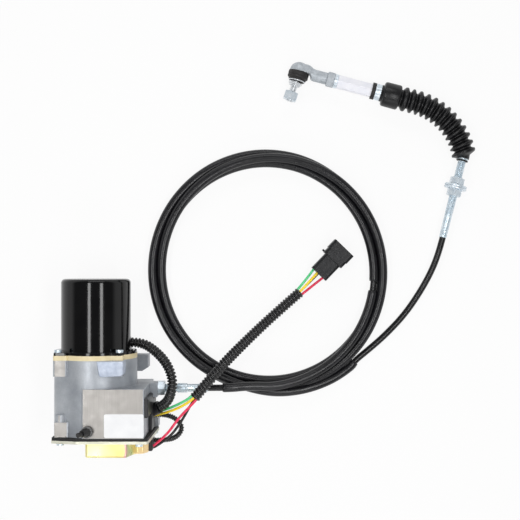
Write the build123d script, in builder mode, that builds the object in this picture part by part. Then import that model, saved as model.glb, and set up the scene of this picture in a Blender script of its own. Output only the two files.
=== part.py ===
from build123d import *
import os
from math import atan, cos, degrees, pi, radians, sin, sqrt, tan

os.makedirs("parts", exist_ok=True)

# The throttle motor lies on its back. X runs across the motor, Y along it towards the motor can, and Z up
# from the mounting feet to the machined front face. The origin is the middle of the four mounting holes.

# Motor axis and levels along it, from the can down to the sensor cover
motor_x = -4.0
motor_z = 42.0
can_length = 68.1
flange_thickness = 2.5
end_plate_thickness = 4.5
housing_length = 71.0
gasket_thickness = 2.6
plate_thickness = 2.6
cover_depth = 14.2

# Motor
can_radius = 33.0
can_wall = 2.2
can_corner = 4.0
end_radius = 39.3
ear_shift = -2.0
ear_reach_x = 28.6
ear_reach_z = 29.5
ear_rim = 3.8
ear_width = 13.2
ear_size = 11.0
ear_corner = 2.0
shaft_radius = 4.0
shaft_nose_radius = 3.5
bearing_radius = 9.5
bearing_length = 4.5
bearing_cup_wall = 2.0
air_gap = 0.8
core_radius = 25.8
slot_count = 10
slot_width = 5.0
slot_depth = 9.5
slot_mouth = 1.8
coil_end_length = 5.5
commutator_radius = 9.0
commutator_length = 8.0
commutator_gap = 6.5
commutator_spacer = 1.0
bearing_shim = 3.5
magnet_overhang = 3.0
magnet_gap = 24.0
brush_width = 5.0
brush_height = 6.0
brush_length = 11.0

# Screws
screw_radius = 2.0
screw_head_radius = 3.5
screw_head_height = 2.6
can_screw_grip = 10.0
plate_screw_grip = 7.0
tapped_depth_spare = 1.5

# Gear train
module = 1.25
pressure_angle = 25.0
backlash = 0.14
root_gap = 0.25
sun_teeth = 12
planet_teeth = 18
planet_count = 3
pinion_teeth = 12
drum_gear_teeth = 30
sun_width = 11.5
planet_width = 10.0
ring_width = 11.0
ring_rim = 3.5
pinion_width = 8.2
drum_gear_width = 8.0
carrier_radius = 24.0
carrier_thickness = 3.4
pin_radius = 3.0
gear_shaft_radius = 5.0
running_gap = 0.05
bush_radius = 8.0
bush_length = 5.0

# Housing casting
housing_radius = 39.3
web_thickness = 5.8
box_left = -6.5
box_right = 50.5
box_top = 9.2
box_wall = 3.7
box_roof = 2.6
front_face = 83.0
foot_height = 15.0
hole_spacing_x = 74.0
mount_hole_radius = 3.4
mount_hole_depth = 9.0
hole_inset_top = 7.0
hole_inset_bottom = 8.0
front_lug_height = 14.8
front_lug_right = 28.0
lower_lug_height = 14.0
lower_lug_left = -33.0
lower_lug_right = -20.2
lower_lug_reach = 35.0
plate_screw_reach = 28.5
cable_boss_reach = 7.1

# Cable drum and the cable's way out of the housing
cable_y = 3.4
drum_pitch_radius = 17.0
drum_rim = 2.0
drum_thickness = 5.6
wire_radius = 0.9
nipple_radius = 2.4
nipple_length = 4.6
wire_wrap = 40.0

# Cable fittings
thread_radius = 4.0
fitting_bore = 1.6
hub_thread_length = 29.7
hub_ferrule_radius = 4.6
hub_ferrule_length = 9.8
hub_tube_radius = 3.8
hub_tube_length = 19.7
nut_across_flats = 13.0
nut_thickness = 7.0
washer_radius = 11.0
washer_thickness = 2.2
crimp_radius = 3.7
crimp_length = 23.6
far_thread_length = 55.1
far_nut_start = 42.2
far_hub_x = 333.4
far_hub_y = 150.3
far_hub_angle = 75.8
far_height = 12.5

# Bellows boot
pleat_count = 13
pleat_radius = 12.0
valley_radius = 8.6
boot_wall = 1.3
boot_collar_length = 3.3
boot_collar_radius = 5.3
boot_tight_radius = 12.5
boot_tight_turn = 28.4
boot_easy_radius = 66.5
boot_easy_turn = 61.0
boot_rod_run = 15.7
cuff_radius = 12.2
cuff_length = 17.4
cuff_corner = 2.0
lip_radius = 6.2
lip_length = 1.6

# Rod and ball joint
collar_radius = 8.0
collar_length = 5.6
neck_radius = 7.0
neck_length = 2.2
seal_ring_radius = 8.3
seal_ring_length = 3.5
sleeve_radius = 6.7
sleeve_length = 38.2
rod_nut_across = 13.5
rod_nut_length = 7.2
rod_screw_radius = 3.9
shank_radius = 5.9
shank_length = 28.3
ball_radius = 6.0
socket_gap = 0.06
head_radius = 9.6
head_back = 8.8
head_mouth = 2.4
stud_lean = 4.5
stud_neck_radius = 3.2
stud_flange_radius = 6.6
stud_flange_start = 11.6
stud_flange_length = 3.4
stud_nut_start = 21.4
stud_nut_length = 8.4
stud_nut_across = 12.6
stud_length = 31.0

# Throttle cable, its coil and the wiring
cable_radius = 3.15
coil_x = 160.6
coil_y = 116.6
coil_inner = 99.5
coil_outer = 120.5
coil_height = 16.5
motor_conduit_radius = 4.9
sensor_conduit_radius = 2.7
harness_radius = 5.4
harness_bore = 4.3
lead_radius = 1.25
grommet_hole_radius = 4.2
grommet_flange_radius = 6.2
lead_drop = 18.0
entry_block_depth = 3.5
cover_grommet_depth = 3.4
cover_wall = 1.2
cover_left = -5.0
cover_right = 51.0
block_foot_gap = 1.0
block_boss_gap = 0.9
cable_boss_half = 8.0
spout_length = 13.0

# Connector
connector_angle = 46.1
connector_rear_width = 19.0
connector_front_width = 24.0
connector_length = 36.0
connector_shroud = 16.0
connector_wall = 1.8
connector_x = 210.9
connector_y = 114.0
connector_height = 11.6
connector_waist = 19.4
connector_tab_reach = 14.0
connector_tab_thickness = 1.8
connector_step = 26.0
terminal_radius = 0.9
terminal_pitch = 5.2

# Levels that follow from the sizes above
hole_spacing_y = housing_length - hole_inset_top - hole_inset_bottom
housing_top = hole_spacing_y / 2 + hole_inset_top
end_plate_top = housing_top + end_plate_thickness
flange_top = end_plate_top + flange_thickness
can_top = flange_top + can_length
housing_bottom = housing_top - housing_length
gasket_bottom = housing_bottom - gasket_thickness
plate_bottom = gasket_bottom - plate_thickness
ring_teeth = sun_teeth + 2 * planet_teeth
carrier_pitch = module * (sun_teeth + planet_teeth) / 2
drum_x = module * (pinion_teeth + drum_gear_teeth) / 2
ring_root = module * ring_teeth / 2 + (1 + root_gap) * module
chamber_radius = ring_root + ring_rim
web_top = box_top + web_thickness
carrier_top = web_top + 0.4 + carrier_thickness
planet_top = carrier_top + 1.0 + planet_width
drum_top = cable_y + drum_thickness / 2
drum_bottom = cable_y - drum_thickness / 2
cable_z = motor_z - drum_pitch_radius
lead_y = flange_top + motor_conduit_radius + 0.3
lead_z = motor_z - lead_drop
can_side = sqrt(can_radius ** 2 - lead_drop ** 2)


def across(level, x_shift=0.0, z_shift=0.0):
    """Plane across the motor axis at a level along it; its normal points down the motor."""
    origin = (motor_x + x_shift, level, motor_z + z_shift)
    return Plane(origin=origin, x_dir=(1, 0, 0), z_dir=(0, -1, 0))


def down_axis(level, x_shift=0.0):
    """Plane whose X runs down an axis beside the motor axis, for turned pieces."""
    return Plane(origin=(motor_x + x_shift, level, motor_z), x_dir=(0, -1, 0), z_dir=(0, 0, 1))


def step_outline(steps, bore):
    """Corners of a turned profile from (start, end, radius) steps."""
    corners = [(steps[0][0], bore)]
    for start, end, radius in steps:
        corners += [(start, radius), (end, radius)]
    corners.append((steps[-1][1], bore))
    return corners


def turned(base, corners):
    """Solid turned about a plane's X axis from (distance, radius) corners."""
    with BuildPart() as piece:
        with BuildSketch(base):
            with BuildLine():
                Polyline(*corners, close=True)
            make_face()
        revolve(axis=Axis(base.origin, base.x_dir))
    return piece.part


def save(piece, name):
    """Label a finished piece and write its file."""
    piece.label = name
    export_step(piece, "parts/" + name + ".step")


def hex_nut(base, thickness, flats, bore):
    """Hexagon nut standing on a plane."""
    with BuildPart() as nut:
        with BuildSketch(base):
            RegularPolygon(flats / 2, 6, major_radius=False)
            Circle(bore, mode=Mode.SUBTRACT)
        extrude(amount=thickness)
        corner_radius = flats / sqrt(3)
        rim = chamfer_outline(thickness, corner_radius, flats / 2)
        side = Plane(origin=base.origin, x_dir=base.z_dir, z_dir=base.x_dir)
        with BuildSketch(side):
            with BuildLine():
                Polyline(*rim, close=True)
            make_face()
        revolve(axis=Axis(base.origin, base.z_dir), mode=Mode.INTERSECT)
    return nut.part


def chamfer_outline(thickness, outer, inner):
    """Profile that takes the corners off both ends of a nut."""
    cut = (outer - inner) * 0.6
    return [(0, 0), (0, inner), (cut, outer), (thickness - cut, outer), (thickness, inner), (thickness, 0)]


def involute_corner(base_radius, radius, half_angle):
    """Point of a tooth flank at a radius; the flank leans in as the radius grows."""
    roll = sqrt(max((radius / base_radius) ** 2 - 1, 0))
    angle = half_angle - (roll - atan(roll))
    return radius * cos(angle), radius * sin(angle)


def tooth_outline(teeth, root, tip, thinning):
    """One involute tooth on the X axis, from just inside the root circle to the tip."""
    pitch = module * teeth / 2
    slope = radians(pressure_angle)
    base_radius = pitch * cos(slope)
    half_angle = pi / (2 * teeth) - thinning / (2 * pitch) + tan(slope) - slope
    start = max(base_radius, root)
    low = involute_corner(base_radius, start, half_angle)
    middle = involute_corner(base_radius, (start + tip) / 2, half_angle)
    high = involute_corner(base_radius, tip, half_angle)
    foot = Vector(*low).normalized() * (root - 0.3)
    with BuildSketch() as tooth:
        with BuildLine():
            ThreePointArc(low, middle, high)
            ThreePointArc(high, (tip, 0), (high[0], -high[1]))
            ThreePointArc((high[0], -high[1]), (middle[0], -middle[1]), (low[0], -low[1]))
            Polyline((low[0], -low[1]), (foot.X, -foot.Y), (foot.X, foot.Y), low)
        make_face()
    return tooth.sketch


def spur_profile(teeth, turn, bore):
    """Profile of an external gear."""
    pitch = module * teeth / 2
    root = pitch - (1 + root_gap) * module
    tooth = tooth_outline(teeth, root, pitch + module, backlash)
    with BuildSketch() as profile:
        Circle(root)
        with PolarLocations(0, teeth, start_angle=turn):
            add(tooth)
        if bore:
            Circle(bore, mode=Mode.SUBTRACT)
    return profile.sketch


def spur_gear(base, teeth, width, turn, bore):
    """External gear standing on a plane."""
    with BuildPart() as wheel:
        with BuildSketch(base):
            add(spur_profile(teeth, turn, bore))
        extrude(amount=width)
    return wheel.part


def ear_places(outward=0.0):
    """Places of the four screws round the motor's end, or points a distance outward of them."""
    reach = ear_reach_x + outward
    return [(x, z) for x in (ear_shift - reach, ear_shift + reach) for z in (-ear_reach_z, ear_reach_z)]


def end_outline(inset=0.0):
    """Round motor end with its four screw ears."""
    with BuildSketch() as outline:
        Circle(end_radius - inset)
        with Locations(*ear_places(ear_rim - ear_width / 2)):
            RectangleRounded(ear_width - 2 * inset, ear_size - 2 * inset, ear_corner)
    return outline.sketch


def bend_radii(points):
    """Radius at each inner point of a cord's route: as large as its two runs allow."""
    radii = []
    for before, here, after in zip(points, points[1:], points[2:]):
        run_in = Vector(*here) - Vector(*before)
        run_out = Vector(*after) - Vector(*here)
        half_turn = radians(run_in.get_angle(run_out) / 2)
        radii.append(0.45 * min(run_in.length, run_out.length) / tan(half_turn))
    return radii


def cord_tube(name, points, radius, bore=0.0):
    """Round tube along a cord's route of straight runs and tangent arcs."""
    radii = bend_radii(points)
    with BuildPart() as tube:
        with BuildLine() as route:
            FilletPolyline(*points, radius=radii)
        start = Plane(origin=route.line @ 0, z_dir=route.line % 0)
        with BuildSketch(start):
            Circle(radius)
            if bore:
                Circle(bore, mode=Mode.SUBTRACT)
        sweep(path=route.line)
    length = sum(edge.length for edge in route.edges())
    expected = pi * (radius ** 2 - bore ** 2) * length
    smallest = round(min(radii), 1)
    print(name, "length", round(length, 1), "radii", [round(r, 1) for r in radii], "smallest", smallest,
          "volume share", round(tube.part.volume / expected, 4))
    save(tube.part, name)


# Motor can, drawn with its mounting flange and the cup for the top bearing
with BuildPart() as motor_can:
    with BuildSketch(across(can_top)):
        Circle(can_radius)
    extrude(amount=can_length)
    fillet(motor_can.edges().group_by(Axis.Y)[-1], can_corner)
    with BuildSketch(across(flange_top)):
        add(end_outline(0.4))
    extrude(amount=flange_thickness)
    with BuildSketch(across(can_top - can_wall)):
        Circle(can_radius - can_wall)
    extrude(amount=can_top - can_wall - end_plate_top, mode=Mode.SUBTRACT)
    with BuildSketch(across(can_top - can_wall)):
        Circle(bearing_radius + bearing_cup_wall)
        Circle(bearing_radius, mode=Mode.SUBTRACT)
    extrude(amount=bearing_length + 1.5)
    with BuildSketch(across(flange_top)):
        with Locations(*ear_places()):
            Circle(screw_radius + 0.3)
    extrude(amount=flange_thickness, mode=Mode.SUBTRACT)
    with BuildSketch(Plane(origin=(motor_x, lead_y, lead_z), x_dir=(0, 1, 0), z_dir=(1, 0, 0))):
        Circle(grommet_hole_radius)
    extrude(amount=end_radius, mode=Mode.SUBTRACT)
save(motor_can.part, "motor_can")

# Rubber grommet where the motor leads leave the can
grommet_plane = Plane(origin=(motor_x, lead_y, lead_z), x_dir=(0, 1, 0), z_dir=(1, 0, 0))
with BuildPart() as motor_lead_grommet:
    with BuildSketch(grommet_plane):
        Circle(grommet_flange_radius)
    extrude(amount=can_side + 3.3)
    with BuildSketch(across(can_top)):
        Circle(can_radius)
    extrude(amount=can_length, mode=Mode.SUBTRACT)
    with BuildSketch(across(flange_top)):
        Circle(2 * end_radius)
    extrude(amount=grommet_flange_radius, mode=Mode.SUBTRACT)
    with BuildSketch(grommet_plane.offset(can_side - can_wall - 1.5)):
        Circle(grommet_hole_radius)
    extrude(amount=can_wall + 2.5)
save(motor_lead_grommet.part, "motor_lead_grommet")


def pan_screws(name, bases, grip):
    """Like screws as one group, each on its own plane under its head."""
    with BuildPart() as screws:
        for base in bases:
            with BuildSketch(base):
                Circle(screw_head_radius)
            extrude(amount=-screw_head_height)
            with BuildSketch(base):
                Circle(screw_radius)
            extrude(amount=grip)
    save(screws.part, name)


can_screw_length = flange_thickness + end_plate_thickness + can_screw_grip
pan_screws("can_screws", [across(flange_top, x, z) for x, z in ear_places()], can_screw_length)

# Moulded end plate that closes the can and carries the brushes and the lower bearing
with BuildPart() as motor_end_plate:
    with BuildSketch(across(end_plate_top)):
        add(end_outline())
        Circle(bearing_radius, mode=Mode.SUBTRACT)
        with Locations(*ear_places()):
            Circle(screw_radius + 0.3, mode=Mode.SUBTRACT)
    extrude(amount=end_plate_thickness)
save(motor_end_plate.part, "motor_end_plate")

# The two like bearings of the motor shaft
bearing_levels = [can_top - can_wall - 1.5, end_plate_top]
with BuildPart() as motor_bearings:
    for level in bearing_levels:
        with BuildSketch(across(level)):
            Circle(bearing_radius)
            Circle(shaft_radius + running_gap, mode=Mode.SUBTRACT)
        extrude(amount=bearing_length)
save(motor_bearings.part, "motor_bearings")

# Two arc magnets on the can's wall
core_top = can_top - can_wall - bearing_length - bearing_shim - coil_end_length
commutator_top = end_plate_top + commutator_gap + commutator_length
core_length = core_top - commutator_top - commutator_spacer - coil_end_length
magnet_length = core_length + 2 * magnet_overhang
magnet_top = core_top + magnet_overhang
with BuildPart() as field_magnets:
    with BuildSketch(across(magnet_top)):
        Circle(can_radius - can_wall - running_gap)
        Circle(core_radius + air_gap, mode=Mode.SUBTRACT)
        Rectangle(2 * can_radius, magnet_gap, mode=Mode.SUBTRACT)
    extrude(amount=magnet_length)
save(field_magnets.part, "field_magnets")

# Armature: slotted core, windings, commutator and shaft
slot_middle = core_radius - 1.5 - slot_depth / 2
with BuildPart() as armature_core:
    with BuildSketch(across(core_top)):
        Circle(core_radius)
        with PolarLocations(slot_middle, slot_count):
            Rectangle(slot_depth, slot_width, mode=Mode.SUBTRACT)
        with PolarLocations(core_radius, slot_count):
            Rectangle(4, slot_mouth, mode=Mode.SUBTRACT)
        Circle(shaft_radius, mode=Mode.SUBTRACT)
    extrude(amount=core_length)
save(armature_core.part, "armature_core")

coil_ring_outer = core_radius - 3
coil_ring_inner = shaft_radius + 3
with BuildPart() as armature_windings:
    for level in (core_top + coil_end_length, core_top - core_length):
        with BuildSketch(across(level)):
            Circle(coil_ring_outer)
            Circle(coil_ring_inner, mode=Mode.SUBTRACT)
        extrude(amount=coil_end_length)
    with BuildSketch(across(core_top + 1)):
        with PolarLocations(slot_middle - 0.2, slot_count):
            Rectangle(slot_depth - 0.8, slot_width - 0.4)
    extrude(amount=core_length + 2)
save(armature_windings.part, "armature_windings")

with BuildPart() as commutator:
    with BuildSketch(across(commutator_top)):
        Circle(commutator_radius)
        Circle(shaft_radius, mode=Mode.SUBTRACT)
        with PolarLocations(commutator_radius, slot_count):
            Rectangle(3, 0.6, mode=Mode.SUBTRACT)
    extrude(amount=commutator_length)
save(commutator.part, "commutator")

sun_top = planet_top + 1.0
sun_bottom = sun_top - sun_width
shaft_top = bearing_levels[0] + 0.5
shaft_step = shaft_top - (housing_top - 0.6)
shaft_steps = [(0, shaft_step, shaft_radius), (shaft_step, shaft_top - sun_bottom, shaft_nose_radius)]
motor_shaft = turned(down_axis(shaft_top), step_outline(shaft_steps, 0))
save(motor_shaft, "motor_shaft")

# Brush boxes and brushes bearing on the commutator from front and back
brush_middle = commutator_top - commutator_length / 2
holder_wall = 1.4
brush_start = commutator_radius + running_gap
holder_start = commutator_radius + 2.0
with BuildPart() as brush_holders:
    for side in (1, -1):
        holder_top = brush_middle + brush_height / 2 + holder_wall
        with BuildSketch(across(holder_top)):
            with Locations((0, side * (holder_start + brush_length / 2))):
                Rectangle(brush_width + 2 * holder_wall, brush_length)
        extrude(amount=holder_top - end_plate_top)
    for side in (1, -1):
        channel_top = brush_middle + brush_height / 2 + running_gap
        with BuildSketch(across(channel_top)):
            with Locations((0, side * (holder_start + brush_length / 2))):
                Rectangle(brush_width + 2 * running_gap, brush_length)
        extrude(amount=brush_height + 2 * running_gap, mode=Mode.SUBTRACT)
save(brush_holders.part, "brush_holders")

with BuildPart() as carbon_brushes:
    for side in (1, -1):
        with BuildSketch(across(brush_middle + brush_height / 2)):
            with Locations((0, side * (brush_start + brush_length / 2))):
                Rectangle(brush_width, brush_length)
            Circle(brush_start, mode=Mode.SUBTRACT)
        extrude(amount=brush_height)
save(carbon_brushes.part, "carbon_brushes")

# Planetary stage: sun on the motor shaft, three planets on the carrier, fixed ring in the housing
ring_tip = module * ring_teeth / 2 - module
ring_top = carrier_top + 0.6 + ring_width
with BuildPart() as ring_gear:
    with BuildSketch(across(ring_top)):
        Circle(chamber_radius)
        Circle(ring_tip, mode=Mode.SUBTRACT)
        space = tooth_outline(ring_teeth, ring_tip, ring_root, -backlash)
        with PolarLocations(0, ring_teeth):
            add(space, mode=Mode.SUBTRACT)
    extrude(amount=ring_width)
save(ring_gear.part, "ring_gear")

sun_gear = spur_gear(across(sun_top), sun_teeth, sun_width, 180 / sun_teeth, shaft_nose_radius)
save(sun_gear, "sun_gear")

for number in range(planet_count):
    turn = 360 / planet_count * number
    reach_x = carrier_pitch * cos(radians(turn))
    reach_z = carrier_pitch * sin(radians(turn))
    planet = spur_gear(across(planet_top, reach_x, reach_z), planet_teeth, planet_width, turn, pin_radius + running_gap)
    save(planet, "planet_gear_" + str(number + 1))

# Carrier disc with its pins, its shaft and the pinion that drives the drum
gear_top = drum_bottom
pinion_top = gear_top - 0.4
carrier_shaft_end = gasket_bottom + 0.6
with BuildPart() as planet_carrier:
    with BuildSketch(across(carrier_top)):
        Circle(carrier_radius)
    extrude(amount=carrier_thickness)
    with BuildSketch(across(planet_top + 0.5)):
        with PolarLocations(carrier_pitch, planet_count):
            Circle(pin_radius)
    extrude(amount=planet_top + 0.5 - carrier_top)
    with BuildSketch(across(carrier_top - carrier_thickness)):
        Circle(gear_shaft_radius)
    extrude(amount=carrier_top - carrier_thickness - carrier_shaft_end)
    with BuildSketch(across(pinion_top)):
        add(spur_profile(pinion_teeth, 180 / pinion_teeth, 0))
    extrude(amount=pinion_width)
save(planet_carrier.part, "planet_carrier")

# Drum shaft with its gear and the grooved cable drum
shaft_end = plate_bottom - 8.0
drum_shaft_top = web_top - 1.2
shaft_profile = [(0, drum_shaft_top - shaft_end, gear_shaft_radius)]
drum_shaft = turned(down_axis(drum_shaft_top, drum_x), step_outline(shaft_profile, 0))
save(drum_shaft, "drum_shaft")

drum_gear = spur_gear(across(gear_top, drum_x), drum_gear_teeth, drum_gear_width, 0, gear_shaft_radius)
save(drum_gear, "drum_gear")

groove_depth = drum_rim + wire_radius + 0.1
groove_half = wire_radius + 0.2
drum_radius = drum_pitch_radius + drum_rim
groove_start = drum_thickness / 2 - groove_half
groove_end = drum_thickness / 2 + groove_half
drum_corners = [(0, gear_shaft_radius), (0, drum_radius), (groove_start, drum_radius),
                (groove_start, drum_radius - groove_depth), (groove_end, drum_radius - groove_depth),
                (groove_end, drum_radius), (drum_thickness, drum_radius), (drum_thickness, gear_shaft_radius)]
wrap_end = radians(270 - wire_wrap)
nipple_radius_out = drum_pitch_radius - 1.0
nipple_x = drum_x + nipple_radius_out * cos(wrap_end)
nipple_z = nipple_radius_out * sin(wrap_end)
with BuildPart() as cable_drum:
    add(turned(down_axis(drum_top, drum_x), drum_corners))
    with BuildSketch(across(drum_top, nipple_x, nipple_z)):
        Circle(nipple_radius + 0.1)
    extrude(amount=drum_thickness / 2 + nipple_length / 2, mode=Mode.SUBTRACT)
save(cable_drum.part, "cable_drum")

# Pull wire: straight through the hub, round the drum's groove to its cast nipple
wire_start_x = box_right + cable_boss_reach
with BuildPart() as pull_wire:
    with BuildLine(across(cable_y)) as wire_route:
        tangent_point = (drum_x, -drum_pitch_radius)
        Line((wire_start_x, -drum_pitch_radius), tangent_point)
        wrap_corner = (drum_x + drum_pitch_radius * cos(wrap_end), drum_pitch_radius * sin(wrap_end))
        wrap_middle = radians(270 - wire_wrap / 2)
        middle = (drum_x + drum_pitch_radius * cos(wrap_middle), drum_pitch_radius * sin(wrap_middle))
        ThreePointArc(tangent_point, middle, wrap_corner)
    with BuildSketch(Plane(origin=wire_route.line @ 0, z_dir=wire_route.line % 0)):
        Circle(wire_radius)
    sweep(path=wire_route.line)
    with BuildSketch(across(cable_y + nipple_length / 2, nipple_x, nipple_z)):
        Circle(nipple_radius)
    extrude(amount=nipple_length)
save(pull_wire.part, "pull_wire")

# Four like bushes: two in the housing's web, two in the bottom plate
bush_levels = [(0, web_top - 0.8), (drum_x, web_top - 0.8), (0, gasket_bottom + bush_length),
               (drum_x, gasket_bottom + bush_length)]
with BuildPart() as shaft_bushes:
    for x_shift, level in bush_levels:
        with BuildSketch(across(level, x_shift)):
            Circle(bush_radius)
            Circle(gear_shaft_radius + running_gap, mode=Mode.SUBTRACT)
        extrude(amount=bush_length)
save(shaft_bushes.part, "shaft_bushes")


def edge_rectangle(left, low, right, high):
    """Rectangle given by its edges, in the sketch that is open."""
    with Locations(((left + right) / 2, (low + high) / 2)):
        Rectangle(right - left, high - low)


# Gear housing, one casting: round gear chamber, gear box with its machined front face, ears, lugs and feet
front_z = front_face - motor_z
back_z = -motor_z
foot_z = foot_height - motor_z
foot_left = motor_x - housing_radius
foot_right = motor_x + 47.0
foot_depth = 16.3
corner_lug_depth = 9.0
box_inner_right = box_right - box_wall
plate_screw_places = [(-plate_screw_reach, ear_reach_z), (-plate_screw_reach, -ear_reach_z), (45.5, 36.0), (52.5, -34.5)]
hole_places = [(x, y) for x in (-hole_spacing_x / 2, hole_spacing_x / 2) for y in (-hole_spacing_y / 2, hole_spacing_y / 2)]
cable_plane = Plane(origin=(motor_x + box_right, 0, 0), x_dir=(0, 1, 0), z_dir=(1, 0, 0))


def chamber_outline():
    """Opening under the web: round chamber and gear box, with a post left for a screw."""
    with BuildSketch() as outline:
        Circle(chamber_radius)
        edge_rectangle(box_left + box_wall, foot_z, box_inner_right, front_z - box_wall)
        with Locations(plate_screw_places[2]):
            Circle(5.2, mode=Mode.SUBTRACT)
    return outline.sketch


with BuildPart() as gear_housing:
    with BuildSketch(across(housing_top)):
        Circle(housing_radius)
    extrude(amount=housing_length)
    with BuildSketch(across(housing_top)):
        with Locations(*ear_places(ear_rim - ear_width / 2)):
            RectangleRounded(ear_width, ear_size, ear_corner)
    extrude(amount=front_lug_height)
    with BuildSketch(across(box_top)):
        edge_rectangle(box_left, back_z, box_right, front_z)
    extrude(amount=box_top - housing_bottom)
    fillet(gear_housing.edges().filter_by(Axis.Y).group_by(Axis.Z)[-1], 1.0)
    with BuildSketch(across(housing_bottom + lower_lug_height)):
        edge_rectangle(lower_lug_left, -lower_lug_reach, lower_lug_right, lower_lug_reach)
    extrude(amount=lower_lug_height)
    with BuildSketch(across(housing_bottom + lower_lug_height + 6.5)):
        with Locations(*plate_screw_places[:2]):
            Circle(5.2)
    extrude(amount=7)
    with BuildSketch(Plane.XY.offset(motor_z + 18.0)):
        with BuildLine():
            Polyline((motor_x + 5.9, housing_top), (motor_x + front_lug_right, housing_top),
                     (motor_x + front_lug_right, housing_top - front_lug_height),
                     (motor_x + 8.5, housing_top - front_lug_height), close=True)
        make_face()
    extrude(amount=17.0)
    with BuildSketch(Plane.XY):
        with BuildLine():
            Polyline((foot_left, housing_top), (foot_right, housing_top), (foot_right, housing_top - 12.5),
                     (foot_right - 6.0, housing_top - foot_depth), (foot_left, housing_top - foot_depth), close=True)
        make_face()
        edge_rectangle(foot_left, housing_bottom, motor_x + box_right, housing_bottom + 18.0)
        edge_rectangle(motor_x + 45.0, housing_bottom, motor_x + 57.0, housing_bottom + corner_lug_depth)
    extrude(amount=foot_height)
    with BuildSketch(cable_plane):
        edge_rectangle(cable_y - cable_boss_half, cable_z - 8.5, box_top, cable_z + 8.5)
    extrude(amount=cable_boss_reach)
    with BuildSketch(across(housing_top)):
        Circle(chamber_radius)
    extrude(amount=housing_top - ring_top + ring_width, mode=Mode.SUBTRACT)
    with BuildSketch(across(housing_top)):
        Circle(ring_root)
    extrude(amount=housing_top - web_top, mode=Mode.SUBTRACT)
    with BuildSketch(across(box_top - box_roof)):
        add(chamber_outline())
    extrude(amount=box_top - box_roof - housing_bottom, mode=Mode.SUBTRACT)
    with BuildSketch(across(box_top)):
        Circle(chamber_radius)
    extrude(amount=box_top - housing_bottom, mode=Mode.SUBTRACT)
    for x_shift, level in bush_levels[:2]:
        with BuildSketch(across(level, x_shift)):
            Circle(bush_radius)
        extrude(amount=level - box_top, mode=Mode.SUBTRACT)
    with BuildSketch(across(web_top)):
        Circle(gear_shaft_radius + 0.4)
    extrude(amount=web_thickness, mode=Mode.SUBTRACT)
    with BuildSketch(across(housing_top)):
        with Locations(*ear_places()):
            Circle(screw_radius)
    extrude(amount=can_screw_grip + tapped_depth_spare, mode=Mode.SUBTRACT)
    with BuildSketch(across(housing_bottom + plate_screw_grip + tapped_depth_spare)):
        with Locations(*plate_screw_places):
            Circle(screw_radius)
    extrude(amount=plate_screw_grip + tapped_depth_spare, mode=Mode.SUBTRACT)
    with BuildSketch(Plane.XY):
        with Locations(*hole_places):
            Circle(mount_hole_radius)
    extrude(amount=mount_hole_depth, mode=Mode.SUBTRACT)
    with BuildSketch(cable_plane.offset(-box_wall)):
        with Locations((cable_y, cable_z)):
            Circle(thread_radius)
    extrude(amount=box_wall + cable_boss_reach, mode=Mode.SUBTRACT)
    vent_x = motor_x - 1.3
    vent_y = housing_bottom + 6.5
    with BuildSketch(Plane.XY.offset(front_face)):
        with Locations((vent_x, vent_y)):
            Circle(3.0)
    extrude(amount=-box_wall, mode=Mode.SUBTRACT)
save(gear_housing.part, "gear_housing")

# Rubber vent nipple on the front face, its stub leaning to the left
with BuildPart() as vent_nipple:
    with BuildSketch(Plane.XY.offset(front_face)):
        with Locations((vent_x, vent_y)):
            Circle(5.4)
    extrude(amount=4.0)
    stub_plane = Plane(origin=(vent_x, vent_y, front_face + 2.0), z_dir=(-0.57, -0.12, 0.81))
    with BuildSketch(stub_plane):
        Circle(4.4)
    with BuildSketch(stub_plane.offset(7.0)):
        Circle(3.2)
    loft()
    with BuildSketch(stub_plane.offset(7.0)):
        Circle(2.2)
    extrude(amount=5.0)
    with BuildSketch(Plane.XY.offset(front_face)):
        with Locations((vent_x, vent_y)):
            Circle(10.0)
    extrude(amount=-box_wall, mode=Mode.SUBTRACT)
    with BuildSketch(Plane.XY.offset(front_face)):
        with Locations((vent_x, vent_y)):
            Circle(3.0)
    extrude(amount=-box_wall)
save(vent_nipple.part, "vent_nipple")

# Gasket and zinc-plated bottom plate with the collars of the lower bushes
cover_screw_places = [(44.5, 20.0), (cover_left - 4.9, -8.0)]
plate_corners = [(-36.0, 36.0), (-12.0, 41.5), (54.0, 41.5), (56.7, -41.0), (-36.0, -41.0)]


def plate_outline(inset):
    """Outline of the bottom plate, or of the gasket a little inside it."""
    with BuildSketch() as outline:
        with BuildLine():
            Polyline(*plate_corners, close=True)
        make_face()
        fillet(outline.vertices(), 2.5)
        if inset:
            offset(amount=-inset)
        with Locations(*plate_screw_places):
            Circle(screw_radius + 0.2, mode=Mode.SUBTRACT)
    return outline.sketch


with BuildPart() as bottom_gasket:
    with BuildSketch(across(housing_bottom)):
        add(plate_outline(0.5))
        add(chamber_outline(), mode=Mode.SUBTRACT)
    extrude(amount=gasket_thickness)
save(bottom_gasket.part, "bottom_gasket")

with BuildPart() as bottom_plate:
    with BuildSketch(across(gasket_bottom)):
        add(plate_outline(0))
    extrude(amount=plate_thickness)
    with BuildSketch(across(gasket_bottom)):
        with Locations((0, 0), (drum_x, 0)):
            Circle(bush_radius + 2.2)
    extrude(amount=-bush_length)
    with BuildSketch(across(gasket_bottom)):
        with Locations((0, 0), (drum_x, 0)):
            Circle(bush_radius)
    extrude(amount=-bush_length, mode=Mode.SUBTRACT)
    with BuildSketch(across(gasket_bottom)):
        with Locations((drum_x, 0)):
            Circle(gear_shaft_radius + 0.4)
        with Locations(*cover_screw_places):
            Circle(screw_radius)
    extrude(amount=plate_thickness, mode=Mode.SUBTRACT)
save(bottom_plate.part, "bottom_plate")


def from_below(level, x_shift, z_shift):
    """Plane under a screw's head that is driven upwards."""
    return Plane(origin=(motor_x + x_shift, level, motor_z + z_shift), x_dir=(1, 0, 0), z_dir=(0, 1, 0))


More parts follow.
